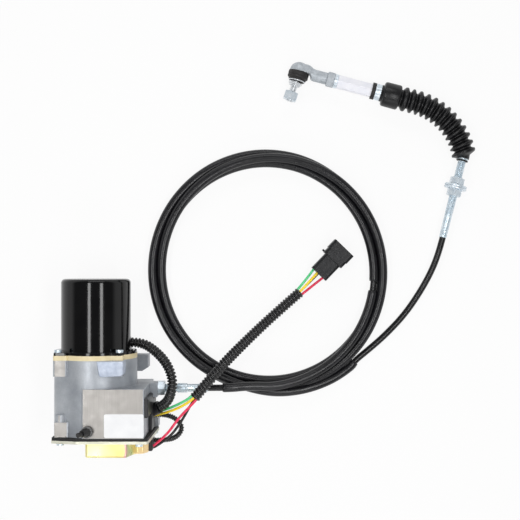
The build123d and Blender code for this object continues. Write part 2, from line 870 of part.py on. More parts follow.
plate_bases = [from_below(plate_bottom, x, z) for x, z in plate_screw_places]
pan_screws("plate_screws", plate_bases, plate_thickness + gasket_thickness + plate_screw_grip)

# Position sensor on the lower end of the drum shaft, under its cover
with BuildPart() as position_sensor:
    with BuildSketch(across(plate_bottom, drum_x)):
        Circle(14.0)
        edge_rectangle(8.0, -6.0, 20.0, 6.0)
        Circle(gear_shaft_radius + running_gap, mode=Mode.SUBTRACT)
    extrude(amount=9.4)
save(position_sensor.part, "position_sensor")

cover_corners = [(cover_left, 33.0), (33.8, 33.0), (40.0, 14.0), (47.0, 13.0), (cover_right, 6.0), (cover_right, -20.0),
                 (cover_left, -20.0)]


def cover_outline(inset):
    """Outline of the drawn sensor cover, outside or inside its wall."""
    with BuildSketch() as outline:
        with BuildLine():
            Polyline(*cover_corners, close=True)
        make_face()
        fillet(outline.vertices(), 2.4)
        if inset:
            offset(amount=-inset)
    return outline.sketch


with BuildPart() as sensor_cover:
    with BuildSketch(across(plate_bottom)):
        add(cover_outline(0))
    extrude(amount=cover_depth)
    fillet(sensor_cover.edges().group_by(Axis.Y)[0], 2.0)
    with BuildSketch(across(plate_bottom)):
        edge_rectangle(36.0, 10.0, 49.5, 24.5)
        edge_rectangle(cover_left - 9.4, -12.5, cover_left + 2.6, -3.5)
    extrude(amount=cover_wall)
    with BuildSketch(across(plate_bottom)):
        add(cover_outline(cover_wall))
    extrude(amount=cover_depth - cover_wall, mode=Mode.SUBTRACT)
    with BuildSketch(across(plate_bottom)):
        with Locations(*cover_screw_places):
            Circle(screw_radius + 0.2)
    extrude(amount=cover_wall, mode=Mode.SUBTRACT)
save(sensor_cover.part, "sensor_cover")

cover_bases = [from_below(plate_bottom - cover_wall, x, z) for x, z in cover_screw_places]
pan_screws("cover_screws", cover_bases, cover_wall + plate_thickness)

# Rubber grommet on the cover's side, where the sensor leads come out
cover_side = Plane(origin=(motor_x + cover_right, 0, 0), x_dir=(0, 1, 0), z_dir=(1, 0, 0))
with BuildPart() as cover_grommet:
    with BuildSketch(cover_side):
        with Locations((plate_bottom - 7.8, motor_z - 6.5)):
            RectangleRounded(11.0, 23.0, 2.0)
    extrude(amount=cover_grommet_depth)
    chamfer(cover_grommet.edges().group_by(Axis.X)[-1], 0.8)
save(cover_grommet.part, "cover_grommet")

# Moulded entry block on the housing's side, with the angled spout that the motor conduit slips into
block_low = housing_bottom + block_foot_gap
block_lug_side = housing_bottom + corner_lug_depth + 0.3
block_bend = housing_bottom + 18.5
block_boss_side = cable_y - cable_boss_half - block_boss_gap
block_top = cable_y - 3.4
block_front = front_face - 3.0
spout_start = Vector(motor_x + box_right - 2.0, housing_bottom + 16.5, 28.7)
spout_direction = Vector(0.851, 0.413, 0.324)
spout_end = spout_start + spout_direction * spout_length
with BuildPart() as lead_entry_block:
    with BuildSketch(cable_plane):
        with BuildLine():
            Polyline((block_top, 36), (block_top, block_front), (block_bend, block_front), (block_bend, 46), (block_low, 46),
                     (block_low, foot_height + 1), (block_lug_side, foot_height + 1), (block_lug_side, 8),
                     (block_boss_side, 8), (block_boss_side, 36), close=True)
        make_face()
    extrude(amount=entry_block_depth)
    chamfer(lead_entry_block.edges().group_by(Axis.X)[-1], 0.7)
    with BuildSketch(Plane(origin=spout_start, z_dir=spout_direction)):
        Circle(motor_conduit_radius + 1.3)
    extrude(amount=spout_length)
    with BuildSketch(cable_plane):
        Rectangle(2 * front_face, 2 * front_face)
    extrude(amount=-spout_length, mode=Mode.SUBTRACT)
save(lead_entry_block.part, "lead_entry_block")

# Cable fitting at the motor: threaded hub, ferrule and tube, with its lock nut
hub_start = motor_x + box_inner_right
hub_base = Plane(origin=(hub_start, cable_y, cable_z), x_dir=(1, 0, 0), z_dir=(0, 0, 1))
ferrule_start = hub_thread_length
tube_start = ferrule_start + hub_ferrule_length
hub_length = tube_start + hub_tube_length
hub_steps = [(0, ferrule_start, thread_radius), (ferrule_start, tube_start, hub_ferrule_radius),
             (tube_start, hub_length, hub_tube_radius)]
motor_end_hub = turned(hub_base, step_outline(hub_steps, fitting_bore))
save(motor_end_hub, "motor_end_hub")

# Cable fitting at the far end: crimp and long threaded hub
far_direction = Vector(cos(radians(far_hub_angle)), sin(radians(far_hub_angle)), 0)
far_start = Vector(far_hub_x, far_hub_y, far_height)


def far_plane(distance):
    """Plane across the far hub at a distance from the cable's end."""
    return Plane(origin=far_start + far_direction * distance, x_dir=(0, 0, 1), z_dir=far_direction)


def far_base(distance):
    """Plane whose X runs along the far hub, for turned pieces."""
    return Plane(origin=far_start + far_direction * distance, x_dir=far_direction, z_dir=(0, 0, 1))


far_length = crimp_length + far_thread_length + boot_collar_length
far_steps = [(0, crimp_length, crimp_radius), (crimp_length, far_length - boot_collar_length, thread_radius),
             (far_length - boot_collar_length, far_length, boot_collar_radius)]
rod_end_hub = turned(far_base(0), step_outline(far_steps, fitting_bore))
save(rod_end_hub, "rod_end_hub")

# Three like nuts: the lock nut at the motor and the two that clamp a bracket at the far hub
washer_start = far_nut_start + nut_thickness
upper_nut_start = washer_start + 2 * washer_thickness
lock_nut_plane = Plane(origin=(motor_x + box_right + cable_boss_reach, cable_y, cable_z), x_dir=(0, 0, 1), z_dir=(1, 0, 0))
with BuildPart() as hub_nuts:
    for nut_plane in (lock_nut_plane, far_plane(far_nut_start), far_plane(upper_nut_start)):
        add(hex_nut(nut_plane, nut_thickness, nut_across_flats, thread_radius))
save(hub_nuts.part, "hub_nuts")

with BuildPart() as hub_washers:
    for number in range(2):
        with BuildSketch(far_plane(washer_start + number * (washer_thickness + 0.02))):
            Circle(washer_radius)
            Circle(thread_radius + 0.2, mode=Mode.SUBTRACT)
        extrude(amount=washer_thickness - 0.02)
save(hub_washers.part, "hub_washers")

# Bellows boot on its bent path from the far hub to the rod
boot_start = far_start + far_direction * far_length
with BuildPart() as bellows_boot:
    with BuildLine() as boot_path:
        tight = JernArc(start=boot_start, tangent=far_direction, radius=boot_tight_radius, arc_size=boot_tight_turn)
        easy = JernArc(start=tight @ 1, tangent=tight % 1, radius=boot_easy_radius, arc_size=boot_easy_turn)
        rod_run = Line(easy @ 1, (easy @ 1) + (easy % 1) * boot_rod_run)
    path = boot_path.line
    for number in range(2 * pleat_count + 1):
        share = number / (2 * pleat_count)
        with BuildSketch(Plane(origin=path @ share, z_dir=path % share)):
            Circle(pleat_radius if number % 2 else valley_radius if number else lip_radius)
    loft(ruled=True)
    rod_direction = (path % 1).normalized()
    rod_start = path @ 1
    cuff_plane = Plane(origin=rod_start, x_dir=(0, 0, 1), z_dir=rod_direction)
    with BuildSketch(cuff_plane):
        Circle(cuff_radius)
    extrude(amount=cuff_length)
    fillet(bellows_boot.edges().filter_by(GeomType.CIRCLE).filter_by(lambda e: abs(e.radius - cuff_radius) < 0.01), cuff_corner)
    with BuildSketch(cuff_plane.offset(cuff_length)):
        Circle(neck_radius + 1.2)
    extrude(amount=neck_length)
    with BuildSketch(far_plane(far_length)):
        Circle(lip_radius)
    extrude(amount=-lip_length)
    with BuildSketch(Plane(origin=path @ 0, z_dir=path % 0)):
        Circle(valley_radius - boot_wall)
    sweep(path=path, mode=Mode.SUBTRACT)
    with BuildSketch(far_plane(far_length)):
        Circle(lip_radius)
    with BuildSketch(far_plane(far_length + boot_wall)):
        Circle(valley_radius - boot_wall / 2)
    loft()
    with BuildSketch(far_plane(far_length - lip_length)):
        Circle(boot_collar_radius)
    extrude(amount=lip_length + boot_wall, mode=Mode.SUBTRACT)
    with BuildSketch(cuff_plane):
        Circle(neck_radius)
    extrude(amount=cuff_length + neck_length, mode=Mode.SUBTRACT)
save(bellows_boot.part, "bellows_boot")


def rod_base(distance):
    """Plane whose X runs along the rod, away from the boot."""
    return Plane(origin=rod_start + rod_direction * distance, x_dir=rod_direction, z_dir=(0, 0, 1))


def rod_plane(distance):
    """Plane across the rod at a distance from the boot."""
    return Plane(origin=rod_start + rod_direction * distance, x_dir=(0, 0, 1), z_dir=rod_direction)


# Rod: collar in the boot's cuff, seal ring, sleeve, lock nut
collar_start = cuff_length + neck_length
sleeve_start = collar_start + collar_length
sleeve_end = sleeve_start + sleeve_length
nut_start = sleeve_end + 3.6
shank_start = nut_start + rod_nut_length
ball_station = shank_start + shank_length
collar_steps = [(4.0, collar_start, neck_radius), (collar_start, sleeve_start, collar_radius)]
rod_collar = turned(rod_base(0), step_outline(collar_steps, fitting_bore))
save(rod_collar, "rod_collar")

seal_ring_steps = [(sleeve_start, sleeve_start + seal_ring_length, seal_ring_radius)]
rod_seal_ring = turned(rod_base(0), step_outline(seal_ring_steps, sleeve_radius))
save(rod_seal_ring, "rod_seal_ring")

screw_reach = 14.0
sleeve_steps = [(sleeve_start, sleeve_end, sleeve_radius), (sleeve_end, nut_start, sleeve_radius + 0.35),
                (nut_start, shank_start + screw_reach, rod_screw_radius)]
rod_sleeve = turned(rod_base(0), step_outline(sleeve_steps, 0))
save(rod_sleeve, "rod_sleeve")

rod_lock_nut = hex_nut(rod_plane(nut_start), rod_nut_length, rod_nut_across, rod_screw_radius)
save(rod_lock_nut, "rod_lock_nut")

# Ball joint: cast housing with its socket, stud with ball, seal, clip and nut
ball_centre = rod_start + rod_direction * ball_station
mouth_direction = rod_direction.rotate(Axis.Z, 90)
stud_direction = mouth_direction.rotate(Axis.Z, -stud_lean)
mouth_base = Plane(origin=ball_centre, x_dir=mouth_direction, z_dir=(0, 0, 1))
stud_base = Plane(origin=ball_centre, x_dir=stud_direction, z_dir=(0, 0, 1))
neck_start = 12.4
neck_end = 10.2
neck_width = 13.0
neck_height = 10.4
neck_corner = 5.0
neck_side = 2.0
with BuildPart() as ball_joint_housing:
    with BuildSketch(mouth_base):
        with BuildLine():
            Polyline((-head_back, 0), (-head_back, 4.0))
            ThreePointArc((-head_back, 4.0), (-6.3, 8.0), (-1.5, head_radius))
            Polyline((-1.5, head_radius), (head_mouth, head_radius), (head_mouth, 0), (-head_back, 0))
        make_face()
    revolve(axis=Axis(ball_centre, mouth_direction))
    with BuildSketch(rod_plane(shank_start)):
        Circle(shank_radius)
    extrude(amount=shank_length - neck_start)
    with BuildSketch(rod_plane(ball_station - neck_start)):
        Circle(shank_radius)
    with BuildSketch(rod_plane(ball_station - neck_end)):
        with Locations((0, neck_height / 2 - neck_side)):
            RectangleRounded(neck_width, neck_height, neck_corner)
    loft()
    extrude(faces(Select.LAST).sort_by(Axis(ball_centre, rod_direction))[-1], amount=neck_end - ball_radius + 1.0)
    with Locations(Location(ball_centre)):
        Sphere(ball_radius + socket_gap, mode=Mode.SUBTRACT)
    with BuildSketch(rod_plane(shank_start)):
        Circle(rod_screw_radius)
    extrude(amount=screw_reach, mode=Mode.SUBTRACT)
save(ball_joint_housing.part, "ball_joint_housing")

seal_end = stud_flange_start - 1.0
seal_bore = stud_neck_radius + 1.3
seal_floor = head_mouth + 0.2
seal_corners = [(seal_floor, ball_radius), (seal_floor, 9.3), (4.6, 9.9), (7.2, 9.7), (9.0, 8.9), (9.0, 7.4),
                (seal_end, 7.1), (seal_end, seal_bore), (4.4, seal_bore)]
dust_seal = turned(mouth_base, seal_corners)
save(dust_seal, "dust_seal")

clip_steps = [(9.2, 10.2, 8.2)]
seal_clip = turned(mouth_base, step_outline(clip_steps, 7.45))
save(seal_clip, "seal_clip")

stud_flange_end = stud_flange_start + stud_flange_length
stud_steps = [(4.0, stud_flange_start, stud_neck_radius), (stud_flange_start, stud_flange_start + 1.6, stud_flange_radius),
              (stud_flange_start + 1.6, stud_flange_end, stud_flange_radius - 1.2),
              (stud_flange_end, stud_nut_start, stud_neck_radius), (stud_nut_start, stud_length, stud_neck_radius - 0.2)]
with BuildPart() as ball_stud:
    with Locations(Location(ball_centre)):
        Sphere(ball_radius)
    add(turned(stud_base, step_outline(stud_steps, 0)))
save(ball_stud.part, "ball_stud")

stud_nut_plane = Plane(origin=ball_centre + stud_direction * stud_nut_start, x_dir=(0, 0, 1), z_dir=stud_direction)
stud_nut = hex_nut(stud_nut_plane, stud_nut_length, stud_nut_across, stud_neck_radius - 0.2)
save(stud_nut, "stud_nut")

# Pull wire at the far end, from inside the hub through the boot to the rod's collar
with BuildPart() as rod_pull_wire:
    with BuildLine() as far_wire_route:
        Line(boot_start - far_direction * 20.0, boot_start)
        add(path)
        Line(rod_start, rod_start + rod_direction * (sleeve_start - 1.0))
    with BuildSketch(Plane(origin=far_wire_route.line @ 0, z_dir=far_wire_route.line % 0)):
        Circle(wire_radius)
    sweep(path=far_wire_route.line)
save(rod_pull_wire.part, "rod_pull_wire")

# Throttle cable: in from the motor, a coil of three turns, out to the far hub
cable_in_points = [(hub_start + hub_length, cable_y, cable_z), (114.0, cable_y, cable_z), (127.5, 3.6, 21.6), (141.0, 4.6, 14.0)]
cord_tube("cable_lead_in", cable_in_points, cable_radius)

cable_out_points = [(232.0, 20.5, 4.2), (247.0, 27.5, 3.8), (264.5, 41.5, 3.4), (279.0, 54.5, 3.4), (296.5, 73.0, 3.6),
                    (311.5, 95.0, 5.2), (323.0, 117.0, 9.4), tuple(far_start - far_direction * 14.0), tuple(far_start)]
cord_tube("cable_lead_out", cable_out_points, cable_radius)

coil_corners = [(coil_inner, 0), (coil_outer, 0), (coil_outer, 8.0), (coil_outer - 5.5, coil_height),
                (coil_inner + 6.5, coil_height), (coil_inner, 8.0)]
with BuildPart() as cable_coil:
    with BuildSketch(Plane(origin=(coil_x, coil_y, 0), x_dir=(1, 0, 0), z_dir=(0, -1, 0))):
        with BuildLine():
            Polyline(*coil_corners, close=True)
        make_face()
    revolve(axis=Axis((coil_x, coil_y, 0), (0, 0, 1)))
save(cable_coil.part, "cable_coil")

# Conduits of the motor leads and the sensor leads, both held at the two ends
motor_conduit_points = [(motor_x + can_side + 3.3, lead_y, lead_z), (38.0, lead_y, lead_z), (51.5, 40.0, 30.0),
                        (63.5, 28.5, 38.0), (69.5, 14.5, 43.5), (68.5, 1.5, 43.5),
                        tuple(spout_end + spout_direction * 8.4), tuple(spout_end)]
cord_tube("motor_lead_conduit", motor_conduit_points, motor_conduit_radius)

block_face = motor_x + box_right + entry_block_depth
grommet_face = motor_x + cover_right + cover_grommet_depth
sensor_conduit_points = [(block_face, -24.0, 15.0), (59.5, -24.0, 15.0), (70.5, -28.5, 12.0), (77.0, -38.0, 12.0),
                         (71.0, -46.5, 17.0), (60.0, -47.5, 26.0), (grommet_face, -47.5, 26.0)]
cord_tube("sensor_lead_conduit", sensor_conduit_points, sensor_conduit_radius)

# Harness: conduit with four leads that run on to the connector
harness_points = [(90.0, -4.6, 40.0), (113.0, 23.0, 35.0), (140.5, 49.8, 20.0), (168.0, 75.0, 11.5), (192.6, 96.3, 10.5)]
cord_tube("harness_conduit", harness_points, harness_radius, harness_bore)

connector_direction = Vector(cos(radians(connector_angle)), sin(radians(connector_angle)), 0)
connector_left = connector_direction.rotate(Axis.Z, 90)
connector_origin = Vector(connector_x, connector_y, connector_height)


def lead_points(free_points, side, rise, end_side, end_rise):
    """Route of one lead: free points, then beside the conduit's middle, then its place in the connector."""
    offset_in = connector_left * side + Vector(0, 0, rise)
    inside = [tuple(Vector(*point) + offset_in) for point in harness_points]
    end = connector_origin + connector_left * end_side + Vector(0, 0, end_rise)
    return free_points + inside + [tuple(end)]


green_free = [(block_face, -21.5, 19.0), (60.0, -18.0, 28.0), (75.5, -10.5, 38.0)]
yellow_free = [(block_face, -23.5, 24.0), (60.5, -20.6, 30.5), (75.5, -14.2, 38.5)]
red_free = [(grommet_face, -50.5, 40.0), (63.0, -41.0, 38.5), (74.5, -24.0, 39.5)]
black_free = [(grommet_face, -53.0, 34.0), (64.5, -45.0, 33.0), (77.0, -28.5, 33.5)]
cord_tube("lead_green", lead_points(green_free, 2.4, 0.3, 6.9, 0.6), lead_radius)
cord_tube("lead_yellow", lead_points(yellow_free, -0.3, 1.8, 2.1, 3.0), lead_radius)
cord_tube("lead_red", lead_points(red_free, -2.7, -0.1, -5.4, 0.0), lead_radius)
cord_tube("lead_black", lead_points(black_free, 0.0, -1.9, 0.6, -3.0), lead_radius)

# Four-way connector at the harness's end, with its pins in the shroud
rib_length = 9.0


def connector_plane(distance):
    """Plane across the connector at a distance from its rear face."""
    origin = connector_origin + connector_direction * distance
    return Plane(origin=origin, x_dir=connector_left, z_dir=connector_direction)


with BuildPart() as harness_connector:
    with BuildSketch(connector_plane(0)):
        RectangleRounded(connector_rear_width, connector_rear_width - 1.0, 3.0)
    extrude(amount=connector_waist)
    with BuildSketch(connector_plane(connector_waist)):
        RectangleRounded(connector_front_width - 0.8, connector_front_width - 1.8, 3.0)
    extrude(amount=connector_step - connector_waist)
    with BuildSketch(connector_plane(connector_waist)):
        with Locations((connector_tab_reach / 2, 0)):
            Rectangle(connector_tab_reach, 5.0)
    extrude(amount=connector_tab_thickness)
    with BuildSketch(connector_plane(connector_step)):
        RectangleRounded(connector_front_width + 0.6, connector_front_width - 0.6, 3.0)
    extrude(amount=connector_length - connector_step)
    rib_places = GridLocations(4.2, 0, 3, 1)
    with BuildSketch(connector_plane(connector_waist - rib_length)):
        with Locations((0, (connector_front_width - 1.8) / 2 - 0.9)):
            with rib_places:
                Rectangle(1.4, 1.8)
    extrude(amount=rib_length)
    with BuildSketch(connector_plane(connector_length - connector_shroud)):
        inner = connector_front_width - 2 * connector_wall - 2.4
        RectangleRounded(inner, inner - 1.0, 2.0)
    extrude(amount=connector_shroud, mode=Mode.SUBTRACT)
save(harness_connector.part, "harness_connector")

with BuildPart() as connector_pins:
    with BuildSketch(connector_plane(connector_length - connector_shroud)):
        with GridLocations(terminal_pitch, terminal_pitch, 2, 2):
            Circle(terminal_radius)
    extrude(amount=connector_shroud - 4.0)
save(connector_pins.part, "connector_pins")
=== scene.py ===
from math import cos, sin, pi, radians, sqrt

import bmesh
import bpy
from mathutils import Matrix, Vector


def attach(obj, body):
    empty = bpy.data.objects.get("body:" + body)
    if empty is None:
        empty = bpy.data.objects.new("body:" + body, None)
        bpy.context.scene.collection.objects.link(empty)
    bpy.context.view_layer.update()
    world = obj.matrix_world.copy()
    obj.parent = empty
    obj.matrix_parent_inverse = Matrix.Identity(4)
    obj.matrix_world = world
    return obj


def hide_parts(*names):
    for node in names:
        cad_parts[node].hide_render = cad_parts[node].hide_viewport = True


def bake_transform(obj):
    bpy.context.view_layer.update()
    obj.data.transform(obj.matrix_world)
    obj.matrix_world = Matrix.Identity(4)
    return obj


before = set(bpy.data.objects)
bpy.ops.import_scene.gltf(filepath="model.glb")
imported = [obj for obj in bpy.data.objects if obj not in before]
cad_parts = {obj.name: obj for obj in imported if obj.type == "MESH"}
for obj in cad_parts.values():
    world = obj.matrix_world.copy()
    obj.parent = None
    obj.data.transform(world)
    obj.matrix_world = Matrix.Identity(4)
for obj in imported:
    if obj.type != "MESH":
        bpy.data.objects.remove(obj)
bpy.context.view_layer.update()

# Lengths are written in millimetres, and this turns them into metres
mm = 0.001

# Camera of the photograph, straight above the part
camera_place = (153.0, 128.0, 1000.0)
view_width = 520.0
sensor_width = 36.0

# Studio: sines of the heights where the white horizon ends and the grey ceiling starts
white = (1.0, 1.0, 1.0, 1.0)
horizon_edge = 0.22
ceiling_edge = 0.45
ceiling_level = 0.17

# Floor, and what the lamps are aimed at
floor_height = -0.2
floor_reach = 2500.0
floor_grey = 0.86
floor_glow = 0.9
motor_x = -4.0
motor_spot = (motor_x, 40.0, 60.0)
coil_spot = (160.0, 130.0, 0.0)

# Machined faces of the casting: the heights where they begin, how far left of the motor's axis
# the lugs are, and how squarely the faces look to the front
front_heights = (81.5, 82.5)
lug_heights = (58.0, 60.0)
lug_reach = (21.0, 22.0)
squarely = (0.985, 0.995)

# Where the sensor cover turns away from its broad face
chromate_bend = 26.0

# Cable, sleeve, conduits and leads
fitting_y = 3.4
fitting_height = 25.0
cable_radius = 3.15
sleeve_radius = 4.45
sleeve_rolled = 0.35
coil_x = 160.6
coil_y = 116.6
coil_radius = 110.9
coil_swing = 1.7
coil_gap = 0.1
coil_entry_rise = 3.6
strand_spread = 5.2
coil_start = 277.5
coil_step = 22.5
coil_count = 47
motor_conduit_radius = 4.9
sensor_conduit_radius = 2.7
harness_radius = 5.4
lead_radius = 1.25
lead_block_face = 50.0
lead_grommet_face = 50.4


# Small helpers


def flat_direction(angle):
    """Direction along the floor, its angle in degrees."""
    return Vector((cos(radians(angle)), sin(radians(angle)), 0.0))


def left_of(direction):
    """Direction along the floor, a quarter turn to the left."""
    return Vector((-direction.y, direction.x, 0.0))


def colour(red, green, blue):
    """Colour as it shows on screen, 0 to 255, turned into the linear values that shaders take."""
    def linear(value):
        share = value / 255.0
        return share / 12.92 if share <= 0.04045 else ((share + 0.055) / 1.055) ** 2.4
    return (linear(red), linear(green), linear(blue), 1.0)


def link_object(name, data):
    """Object of that name in the scene, its place held by its mesh or curve."""
    piece = bpy.data.objects.new(name, data)
    bpy.context.collection.objects.link(piece)
    return piece


def mesh_piece(name, points, faces, smooth=True):
    """Mesh piece from points in millimetres."""
    data = bpy.data.meshes.new(name)
    data.from_pydata([Vector(p) * mm for p in points], [], faces)
    data.validate()
    if smooth:
        data.shade_smooth()
    else:
        data.shade_flat()
    return link_object(name, data)


def ring_faces(count, sides, first=0, closed=True):
    """Faces between neighbouring rings of points, and from the last to the first where closed."""
    faces = []
    for r in range(count if closed else count - 1):
        near = first + r * sides
        far = first + (r + 1) % count * sides
        for k in range(sides):
            following = (k + 1) % sides
            faces.append((near + k, far + k, far + following, near + following))
    return faces


def turn_faces_out(data):
    """Make every closed part of a mesh face outwards."""
    work = bmesh.new()
    work.from_mesh(data)
    bmesh.ops.recalc_face_normals(work, faces=work.faces)
    work.to_mesh(data)
    work.free()


def dress(piece, material):
    """Give every material slot of a piece one material."""
    if not piece.material_slots:
        piece.data.materials.append(material)
    for slot in piece.material_slots:
        slot.material = material


# Far end of the cable, where its fitting starts, and the direction that the fitting points in
far_angle = 75.8
far_start = Vector((333.4, 150.3, 12.5))
far_direction = flat_direction(far_angle)

# Spout that the motor leads run into
spout_direction = Vector((0.851, 0.413, 0.324))
spout_end = Vector((44.5, -19.5, 28.7)) + spout_direction * 13.0

# Connector at the end of the harness
connector_origin = Vector((210.9, 114.0, 11.6))
connector_left = left_of(flat_direction(46.1))


# Materials

def feed(node, value, socket):
    """Give one of a node's inputs a value, or join another node's output to it."""
    if isinstance(value, bpy.types.NodeSocket):
        node.id_data.links.new(value, node.inputs[socket])
    else:
        node.inputs[socket].default_value = value


def add_node(tree, kind, **inputs):
    """New node of that kind, its inputs fed by name."""
    node = tree.nodes.new("ShaderNode" + kind)
    for name, value in inputs.items():
        feed(node, value, name.replace("_", " "))
    return node


class Finish:
    """Node material built around one Principled shader."""

    def __init__(self, name, metallic=0.0, **constants):
        self.material = bpy.data.materials.new(name)
        self.material.use_nodes = True
        self.shader = self.material.node_tree.nodes["Principled BSDF"]
        feed(self.shader, metallic, "Metallic")
        for socket, value in constants.items():
            feed(self.shader, value, socket.replace("_", " "))
        self.place = self.node("TexCoord").outputs["Object"]
        self.normal = None

    def node(self, kind, **inputs):
        return add_node(self.material.node_tree, kind, **inputs)

    def noise(self, size, detail=4.0, rough=0.55, stretch=(1, 1, 1)):
        """Noise whose features measure about size millimetres, stretched along the axes."""
        scale = [1.0 / (size * mm * s) for s in stretch]
        place = self.node("Mapping", Vector=self.place, Scale=scale).outputs["Vector"]
        texture = self.node("TexNoise", Vector=place, Scale=1.0, Detail=detail, Roughness=rough)
        return texture.outputs["Fac"]

    def ramp(self, factor, stops):
        """Colours spread over a factor, as (position, colour) pairs."""
        node = self.node("ValToRGB", Fac=factor)
        elements = node.color_ramp.elements
        while len(elements) < len(stops):
            elements.new(0.5)
        for element, (position, shade) in zip(elements, stops):
            element.position = position
            element.color = shade
        return node.outputs["Color"]

    def span(self, factor, low, high, start=0.3, end=0.7):
        """Factor stretched to run from low to high."""
        node = self.node("MapRange", Value=factor, From_Min=start, From_Max=end, To_Min=low, To_Max=high)
        return node.outputs["Result"]

    def math(self, operation, first, second):
        """Result of an operation on two numbers, each a value or a socket."""
        node = self.node("Math")
        node.operation = operation
        feed(node, first, 0)
        feed(node, second, 1)
        return node.outputs["Value"]

    def part_of(self, vector, axis):
        """One of a vector's three numbers."""
        return self.node("SeparateXYZ", Vector=vector).outputs[axis]

    def along(self, axis):
        """Place along an axis, in millimetres."""
        return self.math("DIVIDE", self.part_of(self.place, axis), mm)

    def facing(self, axis):
        """How far the surface faces along an axis, from -1 to 1."""
        return self.part_of(self.node("NewGeometry").outputs["Normal"], axis)

    def mix(self, factor, first, second):
        """Two colours mixed by a factor."""
        node = self.node("Mix")
        node.data_type = "RGBA"
        feed(node, factor, 0)
        feed(node, first, 6)
        feed(node, second, 7)
        return node.outputs[2]

    def edge(self, radius):
        """Mask of convex and concave edges, and edges that look rounded by the radius."""
        bevel = self.node("Bevel", Radius=radius * mm)
        bevel.samples = 6
        self.normal = bevel.outputs["Normal"]
        turn = self.node("VectorMath")
        turn.operation = "DOT_PRODUCT"
        feed(turn, self.normal, 0)
        feed(turn, self.node("NewGeometry").outputs["Normal"], 1)
        return self.span(turn.outputs["Value"], 1.0, 0.0, 0.75, 1.0)

    def bump(self, height, depth, strength=1.0):
        """Relief of that depth in millimetres, added to any before it."""
        node = self.node("Bump", Height=height, Distance=depth * mm, Strength=strength)
        if self.normal is not None:
            feed(node, self.normal, "Normal")
        self.normal = node.outputs["Normal"]

    def base(self, shade):
        feed(self.shader, shade, "Base Color")

    def rough(self, factor):
        feed(self.shader, factor, "Roughness")

    def done(self):
        if self.normal is not None:
            feed(self.shader, self.normal, "Normal")
        return self.material


def plain_finish(name, dark, light, metallic, rough, cloud=14.0, grain=0.5, grain_depth=0.02,
                 edge_radius=0.0, edge_colour=None, **constants):
    """Finish with a slow colour change, uneven gloss, fine grain and, where asked, worn edges."""
    finish = Finish(name, metallic, **constants)
    shade = finish.ramp(finish.noise(cloud), [(0.32, colour(*dark)), (0.68, colour(*light))])
    if edge_radius:
        shade = finish.mix(finish.edge(edge_radius), shade, colour(*edge_colour))
    finish.base(shade)
    finish.rough(finish.span(finish.noise(cloud * 0.4, 6.0), rough[0], rough[1]))
    finish.bump(finish.noise(grain, 5.0, 0.6), grain_depth)
    return finish.done()


black_paint = plain_finish("black_paint", (7, 7, 8), (13, 13, 14), 0.0, (0.08, 0.13), cloud=30.0, grain=1.8,
                           grain_depth=0.008, edge_radius=0.5, edge_colour=(24, 25, 26),
                           Specular_IOR_Level=0.3)
cream_plastic = plain_finish("cream_plastic", (214, 198, 154), (230, 216, 178), 0.0, (0.42, 0.55),
                             cloud=9.0, grain=0.7, grain_depth=0.03)
gasket_black = plain_finish("gasket_black", (16, 16, 17), (30, 30, 31), 0.0, (0.6, 0.8), cloud=5.0,
                            grain=0.4, grain_depth=0.05)
black_rubber = plain_finish("black_rubber", (20, 19, 19), (36, 34, 34), 0.0, (0.5, 0.66), cloud=8.0,
                            grain_depth=0.04)
vent_rubber = plain_finish("vent_rubber", (9, 9, 10), (18, 18, 19), 0.0, (0.22, 0.34), cloud=5.0)
black_plastic = plain_finish("black_plastic", (16, 16, 18), (28, 28, 31), 0.0, (0.35, 0.5), cloud=8.0,
                             grain=0.35, grain_depth=0.03, edge_radius=0.25, edge_colour=(48, 48, 51))
connector_black = plain_finish("connector_black", (14, 15, 17), (25, 26, 29), 0.0, (0.34, 0.48), cloud=7.0,
                               grain=0.3, grain_depth=0.03, edge_radius=0.3, edge_colour=(50, 51, 55),
                               Specular_IOR_Level=0.3)
conduit_black = plain_finish("conduit_black", (8, 8, 9), (16, 16, 18), 0.0, (0.24, 0.32), cloud=12.0,
                             grain=2.0, grain_depth=0.01, Specular_IOR_Level=0.7)
cable_black = plain_finish("cable_black", (7, 7, 9), (14, 14, 16), 0.0, (0.24, 0.34), cloud=16.0,
                           grain=0.8, grain_depth=0.004, Specular_IOR_Level=0.42)
sleeve_charcoal = plain_finish("sleeve_charcoal", (14, 14, 17), (24, 24, 28), 0.0, (0.26, 0.36), cloud=20.0,
                               grain=1.0, grain_depth=0.005, Specular_IOR_Level=0.42)
lead_colours = {"green": ((70, 200, 124), (108, 224, 156)), "yellow": ((255, 212, 24), (255, 228, 58)),
                "red": ((222, 30, 70), (244, 58, 100)), "black": ((12, 12, 13), (24, 24, 26))}
lead_finishes = {shade: plain_finish("lead_" + shade + "s", dark, light, 0.0, (0.3, 0.42), cloud=6.0)
                 for shade, (dark, light) in lead_colours.items()}
zinc = plain_finish("zinc", (188, 206, 218), (222, 233, 240), 0.45, (0.24, 0.36), cloud=5.0, grain=0.8,
                    grain_depth=0.005, edge_radius=0.25, edge_colour=(238, 242, 246))
zinc_bright = plain_finish("zinc_bright", (204, 217, 227), (229, 237, 243), 0.4, (0.26, 0.36), cloud=4.0,
                           grain=0.8, grain_depth=0.004, edge_radius=0.3, edge_colour=(246, 248, 250))
sleeve_zinc = plain_finish("sleeve_zinc", (236, 237, 245), (246, 246, 251), 0.12, (0.34, 0.48), cloud=9.0,
                           grain=0.6, grain_depth=0.01, edge_radius=0.3, edge_colour=(248, 248, 252))
bright_steel = plain_finish("bright_steel", (204, 208, 212), (232, 235, 238), 0.4, (0.24, 0.36), cloud=4.0,
                            grain=0.8, grain_depth=0.005, edge_radius=0.2, edge_colour=(244, 245, 246))
